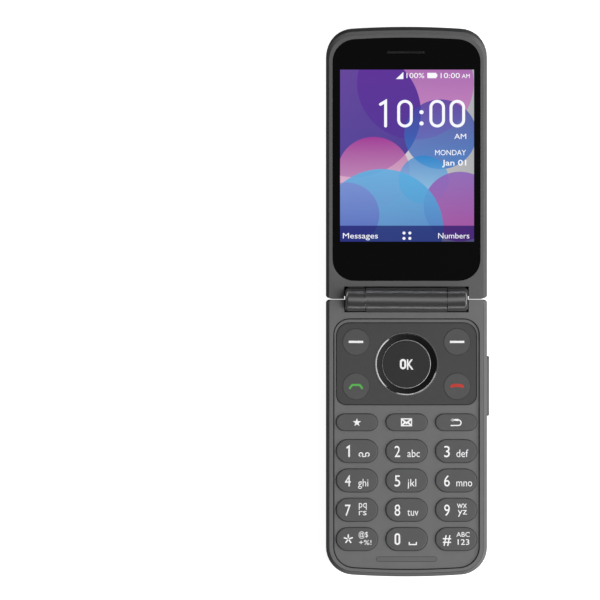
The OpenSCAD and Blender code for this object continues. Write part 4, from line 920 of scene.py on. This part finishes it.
def lit_marks(name, tone, next_tone):
    """Lit marks of one colour, made of small cells in two near tones."""
    made, tree, shader = lit_panel(name)
    place = add(tree, "ShaderNodeTexCoord").outputs["Object"]
    cells = add(tree, "ShaderNodeTexChecker", {
        "Vector": place, "Scale": 1 / (LIT_CELL * MM), "Color1": linear(tone), "Color2": linear(next_tone)})
    tree.links.new(cells.outputs["Color"], shader.inputs["Emission Color"])
    return made


OUTER_GLOW_SIZE = 20.0


def outer_ground_finish():
    """The outer display's ground: nearly black, with a faint uneven glow."""
    made, tree, shader = lit_panel("lit_outer_display_ground")
    chart = add(tree, "ShaderNodeUVMap", uv_map="millimetres").outputs["UV"]
    glow = add(tree, "ShaderNodeTexNoise", {"Vector": chart, "Scale": 1 / OUTER_GLOW_SIZE, "Detail": 1.0})
    ground = mixed_in(tree, linear("#020203"), linear("#060a0a"), glow.outputs["Fac"])
    tree.links.new(ground, shader.inputs["Emission Color"])
    return made


wallpaper = wallpaper_finish()
lit_white = lit_marks("lit_white_marks", "#ffffff", "#f4f6ff")
lit_blue = lit_marks("lit_light_blue_marks", "#a9cdea", "#b6d6f0")
lit_mint = lit_marks("lit_mint_marks", "#c3ecdc", "#d2f4e6")
outer_ground = outer_ground_finish()


# ---------- displays ----------

def sheet(width, height):
    """A flat sheet in millimetres, centred, with its own map in millimetres from the middle."""
    mesh = bpy.data.meshes.new("sheet")
    mesh.from_pydata([(x * MM, y * MM, z * INK) for z in (1, -1) for x, y in oblong(width, height)], [],
                     [(0, 1, 2, 3), (7, 6, 5, 4), (0, 4, 5, 1), (1, 5, 6, 2), (2, 6, 7, 3), (3, 7, 4, 0)])
    chart = mesh.uv_layers.new(name="millimetres")
    for loop in mesh.loops:
        co = mesh.vertices[loop.vertex_index].co
        chart.data[loop.index].uv = (co.x / MM, co.y / MM)
    return mesh


def lit_sheet(name, size, place, made):
    """A display's lit area on the lid."""
    mesh = sheet(*size)
    mesh.transform(place)
    shown(name, mesh, "lid", [made])


def signal(size):
    """A mobile signal sign: a right-angled wedge."""
    return [(-size / 2, -size / 2), (size / 2, -size / 2), (size / 2, size / 2)]


def cell(width, height):
    """A battery sign with its nub."""
    w, h, nub = width / 2, height / 2, height * 0.18
    return [(-w, -h), (w - nub, -h), (w - nub, -h * 0.5), (w, -h * 0.5), (w, h * 0.5), (w - nub, h * 0.5),
            (w - nub, h), (-w, h)]


SCREEN_ABOVE_GLASS = 0.005
MARKS_ABOVE_SCREEN = 0.03

# The main display's lit area sits nearer the earpiece end of its module, as the driver's ledge is at
# the other end
MAIN_LIT = (48.2, 64.25)
MAIN_LIT_X = 0.2
MAIN_BORDER = 1.93
glass_top = lid_reach("display_glass", inner_side)[1].z
module_end = lid_reach("main_display", inner_side)[1].y
screen = inner_side @ at(MAIN_LIT_X, (module_end - MAIN_BORDER * MM) / MM - MAIN_LIT[1] / 2,
                         glass_top / MM + SCREEN_ABOVE_GLASS)
lit_sheet("main_screen", MAIN_LIT, screen, wallpaper)

CLOCK_H, CLOCK_PEN, CLOCK_Y = 10.3, 1.05, 15.7
CLOCK_ONE_W, CLOCK_ZERO_W = 2.9, 5.6
clock = one(CLOCK_ONE_W, CLOCK_H, CLOCK_PEN, -8.65, CLOCK_Y)
for x in (-0.75, 10.85, 18.1):
    clock += zero(CLOCK_ZERO_W, CLOCK_H, CLOCK_PEN, x, CLOCK_Y)
colon = [disc(5.2, y, 0.77, 16) for y in (16.25, 12.05)]
menu_dots = [disc(x, y, 0.55, 12) for x in (-1.1, 1.0) for y in (-28.9, -30.9)]

STATUS_Y, STATUS_FOOT = 29.95, 29.0
MENU_FOOT = -30.9
# Each line: words, capitals' height, left edge, width, foot, and its weight where it has one
SCREEN_WORDS = [
    ("100%", 2.0, -0.2, 6.4, STATUS_FOOT), ("10:00", 2.0, 12.1, 6.9, STATUS_FOOT),
    ("AM", 1.6, 19.7, 2.9, STATUS_FOOT), ("AM", 2.05, 17.0, 4.3, 6.25),
    ("MONDAY", 2.05, 10.1, 11.1, 0.2), ("Jan 01", 2.2, 12.6, 8.7, -3.65, 0.03),
    ("Messages", 2.15, -23.1, 12.6, MENU_FOOT), ("Numbers", 2.15, 11.2, 11.2, MENU_FOOT),
]
screen_marks = [drawn(clock + colon), drawn(menu_dots),
                drawn([signal(2.65)], -2.65, STATUS_Y), drawn([cell(3.6, 2.0)], 9.1, STATUS_Y)]
screen_marks += [words_on(*line) for line in SCREEN_WORDS]
printed("main_screen_marks", screen_marks, screen @ at(0, 0, MARKS_ABOVE_SCREEN), "lid",
        lit_white)

OUTER_LIT = (28.3, 35.4)
window_top = lid_reach("cover_window", outer_side)[1].z
outer_low, outer_high = lid_reach("cover_display", outer_side)
outer_screen = outer_side @ at(0, (outer_low.y + outer_high.y) / 2 / MM, window_top / MM + SCREEN_ABOVE_GLASS)
lit_sheet("outer_screen", OUTER_LIT, outer_screen, outer_ground)

over_outer = outer_screen @ at(0, 0, MARKS_ABOVE_SCREEN)
HOURS_Y, MINUTES_Y = 6.9, -5.6
OUTER_ONE = (3.8, 10.8, 1.3)        # width, height and pen
OUTER_ZERO = (6.9, 11.0, 1.3)
OUTER_STATUS_Y = 15.4
hours = one(*OUTER_ONE, -4.6, HOURS_Y) + zero(*OUTER_ZERO, 4.2, HOURS_Y)
minutes = zero(*OUTER_ZERO, -4.0, MINUTES_Y) + zero(*OUTER_ZERO, 4.2, MINUTES_Y)
printed("outer_hours", [drawn(hours)], over_outer, "lid", lit_blue)
printed("outer_minutes", [drawn(minutes)], over_outer, "lid", lit_mint)
outer_marks = [drawn([signal(2.4)], 0.1, OUTER_STATUS_Y), drawn([cell(3.4, 2.0)], 11.0, OUTER_STATUS_Y),
               (lettering("100%", 2.1, 0.85, 0.03), 5.6, 14.4),
               (lettering("Mon 01/01", 2.2, 0.8, 0.02), 0.1, -15.2)]
printed("outer_marks", outer_marks, over_outer, "lid", lit_white)


# ---------- camera lens ----------

def on_cover(low, high):
    """The axis of a round piece on the lid's outer side."""
    return outer_side @ Matrix.Translation(((low.x + high.x) / 2, (low.y + high.y) / 2, 0))


# Radii and depths under the front, in millimetres: a softened edge, a flat rim, then a stepped well
LENS_WELL = [(2.9, 0), (2.2, 0.3), (2.0, 0.32), (1.5, 0.45), (1.3, 0.45), (0.9, 0.3), (0, 0.2)]
lens_low, lens_high = lid_reach("camera_lens", outer_side)
lens_r = (lens_high.x - lens_low.x) / 2 / MM
lens_top, lens_foot = lens_high.z / MM, lens_low.z / MM
lens_front = [(lens_r, 0.2), (lens_r - 0.08, 0.05), (lens_r - 0.25, 0)] + LENS_WELL
lens_profile = [(0, lens_foot), (lens_r, lens_foot)]
lens_profile += [(radius, lens_top - depth) for radius, depth in lens_front]
shown("camera_lens_ground", turned(lens_profile, on_cover(lens_low, lens_high), closed=False), "lid",
      [lens_glass], ["camera_lens"])


# ---------- quick-dial key ----------

SPIN_PITCH = 0.2961     # millimetres between the rings


def spun_dial_finish(centre):
    """Spun aluminium, black anodised: fine rings left by the tool, which fan the light out."""
    made, tree, shader = finish("spun_black_anodised_aluminium")
    place = add(tree, "ShaderNodeTexCoord").outputs["Object"]
    centred = add(tree, "ShaderNodeVectorMath", {0: place, 1: centre}, operation="SUBTRACT")
    rings = add(tree, "ShaderNodeTexWave",
                {"Vector": centred.outputs[0], "Scale": WAVE_REPEAT / (SPIN_PITCH * MM), "Distortion": 0.3},
                wave_type="RINGS", rings_direction="SPHERICAL")
    tone = mixed_in(tree, linear("#222224"), linear("#3a3a3d"), rings.outputs["Fac"])
    tree.links.new(tone, shader.inputs["Base Color"])
    relief = add(tree, "ShaderNodeBump", {"Height": rings.outputs["Fac"], "Distance": 0.004 * MM})
    tree.links.new(relief.outputs[0], shader.inputs["Normal"])
    shader.inputs["Metallic"].default_value = 0.9
    shader.inputs["Roughness"].default_value = 0.25
    return made


# Radii and heights in millimetres. The flange is the hidden rim that the cover holds down
DIAL_FLANGE = 0.5       # its width and its thickness
DIAL_DISH = 0.15
dial_low, dial_high = lid_reach("quick_dial_key", outer_side)
dial_at = on_cover(dial_low, dial_high)
dial_r = (dial_high.x - dial_low.x) / 2 / MM - DIAL_FLANGE
dial_top, dial_foot = dial_high.z / MM, dial_low.z / MM
dial_profile = [
    (0, dial_foot), (dial_r + DIAL_FLANGE, dial_foot), (dial_r + DIAL_FLANGE, dial_foot + DIAL_FLANGE),
    (dial_r, dial_foot + DIAL_FLANGE), (dial_r, dial_top - 0.3), (dial_r - 0.1, dial_top - 0.1),
    (dial_r - 0.3, dial_top), (dial_r * 0.5, dial_top - 0.12), (0, dial_top - DIAL_DISH),
]
spun_dial = spun_dial_finish(dial_at @ Vector((0, 0, dial_top * MM)))
shown("quick_dial_key_spun", turned(dial_profile, dial_at, closed=False), "quick_dial_key",
      [spun_dial], ["quick_dial_key"])

# Its sign is a handset with three lines of speed beside it: where each starts, and its height
SPEED_LINES = ((-3.2, 1.15), (-2.85, 0.15), (-2.5, -0.85))
speed_lines = [drawn([stroke([(start, y), (-0.3, y)], SIGN_PEN)]) for start, y in SPEED_LINES]
dial_handset = [(1.2, 1.5)] + arc(3.0, 1.3, 1.9, 175, 265, 8) + [(3.1, -1.3)]
printed("quick_dial_key_print", speed_lines + [drawn([stroke(dial_handset, 0.7)])],
        dial_at @ at(0, 0, dial_top - 0.06), "quick_dial_key", silver_ink_and_painted_highlight)


# ---------- woven mesh in the earpiece slot ----------

def woven_mesh(length, width, pitch, wire, made):
    """A sheet of wires laid both ways, made by a tree of named inputs."""
    group = bpy.data.node_groups.new("woven mesh", "GeometryNodeTree")
    sockets = {}
    for label, value in (("Length", length), ("Width", width), ("Pitch", pitch), ("Wire radius", wire)):
        made_socket = group.interface.new_socket(label, in_out="INPUT", socket_type="NodeSocketFloat")
        sockets[made_socket.identifier] = value
    group.interface.new_socket("Mesh", in_out="OUTPUT", socket_type="NodeSocketGeometry")
    inputs = add(group, "NodeGroupInput").outputs

    def worked_out(operation, first, second=0.0):
        return add(group, "ShaderNodeMath", {0: first, 1: second}, operation=operation).outputs[0]

    def one_way(run, span, turn, line_way):
        """Wires of one direction: as many as the run holds, each as long as the span."""
        whole = worked_out("FLOOR", worked_out("DIVIDE", run, inputs["Pitch"]))
        start = worked_out("MULTIPLY", worked_out("MULTIPLY", whole, inputs["Pitch"]), -0.5)
        first = add(group, "ShaderNodeCombineXYZ", {line_way: start})
        step = add(group, "ShaderNodeCombineXYZ", {line_way: inputs["Pitch"]})
        count = worked_out("ADD", whole, 1.0)
        line = add(group, "GeometryNodeMeshLine", {
            "Count": count, "Start Location": first.outputs[0], "Offset": step.outputs[0]})
        rod = add(group, "GeometryNodeMeshCylinder", {
            "Vertices": 8, "Radius": inputs["Wire radius"], "Depth": span})
        return add(group, "GeometryNodeInstanceOnPoints", {
            "Points": line.outputs[0], "Instance": rod.outputs[0], "Rotation": turn}).outputs[0]

    short = worked_out("SUBTRACT", inputs["Length"], inputs["Width"])
    crosswise = one_way(short, inputs["Width"], (math.pi / 2, 0, 0), "X")
    lengthwise = one_way(inputs["Width"], short, (0, math.pi / 2, 0), "Y")
    both = add(group, "GeometryNodeJoinGeometry")
    group.links.new(crosswise, both.inputs[0])
    group.links.new(lengthwise, both.inputs[0])
    real = add(group, "GeometryNodeRealizeInstances", {0: both.outputs[0]})
    coloured = add(group, "GeometryNodeSetMaterial", {"Geometry": real.outputs[0], "Material": made})
    add(group, "NodeGroupOutput", {0: coloured.outputs[0]})
    piece = bpy.data.objects.new("weaving", bpy.data.meshes.new("weaving"))
    scene.collection.objects.link(piece)
    modifier = piece.modifiers.new("weave", "NODES")
    modifier.node_group = group
    for identifier, value in sockets.items():
        modifier[identifier] = value
    return baked(piece)


# The weave is drawn a few times as coarse as a real one, so that it shows
WIRE_PITCH = 0.26
WIRE_R = 0.05
SLOT_MARGIN = 0.1
MESH_DEPTH = 0.06
mesh_low, mesh_high = lid_reach("earpiece_mesh", inner_side)
slot_mesh = woven_mesh(mesh_high.x - mesh_low.x, mesh_high.y - mesh_low.y - SLOT_MARGIN * MM,
                       WIRE_PITCH * MM, WIRE_R * MM, dark_wire)
slot_mesh.transform(inner_side @ middle_of(mesh_low, mesh_high) @ at(0, 0, -MESH_DEPTH))
shown("earpiece_mesh_woven", slot_mesh, "lid", [dark_wire], ["earpiece_mesh"])


# ---------- floor ----------

FLOOR_HALF = 4.0
FLOOR_DROP = 0.02
FLOOR_GLOW = 0.93
MOTTLES_PER_METRE = 60.0


def light_table_finish():
    """White acrylic, lit from inside.

    The camera sees it white, straight or through glass. All other rays meet a dull grey, so that it
    throws no light up the phone's sides and doesn't show in their gloss.
    """
    made, tree, shader = finish("white_acrylic_light_table")
    place = add(tree, "ShaderNodeTexCoord").outputs["Object"]
    mottle = add(tree, "ShaderNodeTexNoise", {"Vector": place, "Scale": MOTTLES_PER_METRE, "Detail": 2.0})
    tone = mixed_in(tree, linear("#fdfdfd"), linear("#ffffff"), mottle.outputs["Fac"])
    half_tone = mixed_in(tree, (0, 0, 0, 1), tone, 0.5)
    tree.links.new(half_tone, shader.inputs["Base Color"])
    shader.inputs["Roughness"].default_value = 0.9
    shader.inputs["Specular IOR Level"].default_value = 0.0
    shader.inputs["Emission Color"].default_value = (1, 1, 1, 1)
    shader.inputs["Emission Strength"].default_value = FLOOR_GLOW
    dull = add(tree, "ShaderNodeBsdfDiffuse", {"Color": linear("#3c3c3c")})
    rays = add(tree, "ShaderNodeLightPath").outputs
    any_seen = add(tree, "ShaderNodeMath", {0: rays["Is Camera Ray"], 1: rays["Is Transmission Ray"]},
                   operation="MAXIMUM")
    mixed = add(tree, "ShaderNodeMixShader", {
        0: any_seen.outputs[0], 1: dull.outputs[0], 2: shader.outputs[0]})
    out = next(n for n in tree.nodes if n.type == "OUTPUT_MATERIAL")
    tree.links.new(mixed.outputs[0], out.inputs["Surface"])
    return made


mesh = bpy.data.meshes.new("floor")
mesh.from_pydata([(x, y, 0) for x, y in oblong(2 * FLOOR_HALF, 2 * FLOOR_HALF)], [], [(0, 1, 2, 3)])
mesh.materials.append(light_table_finish())
mesh.transform(Matrix.Translation((0, 0, cad_box[0].z - FLOOR_DROP * MM)))
floor = bpy.data.objects.new("floor", mesh)
scene.collection.objects.link(floor)
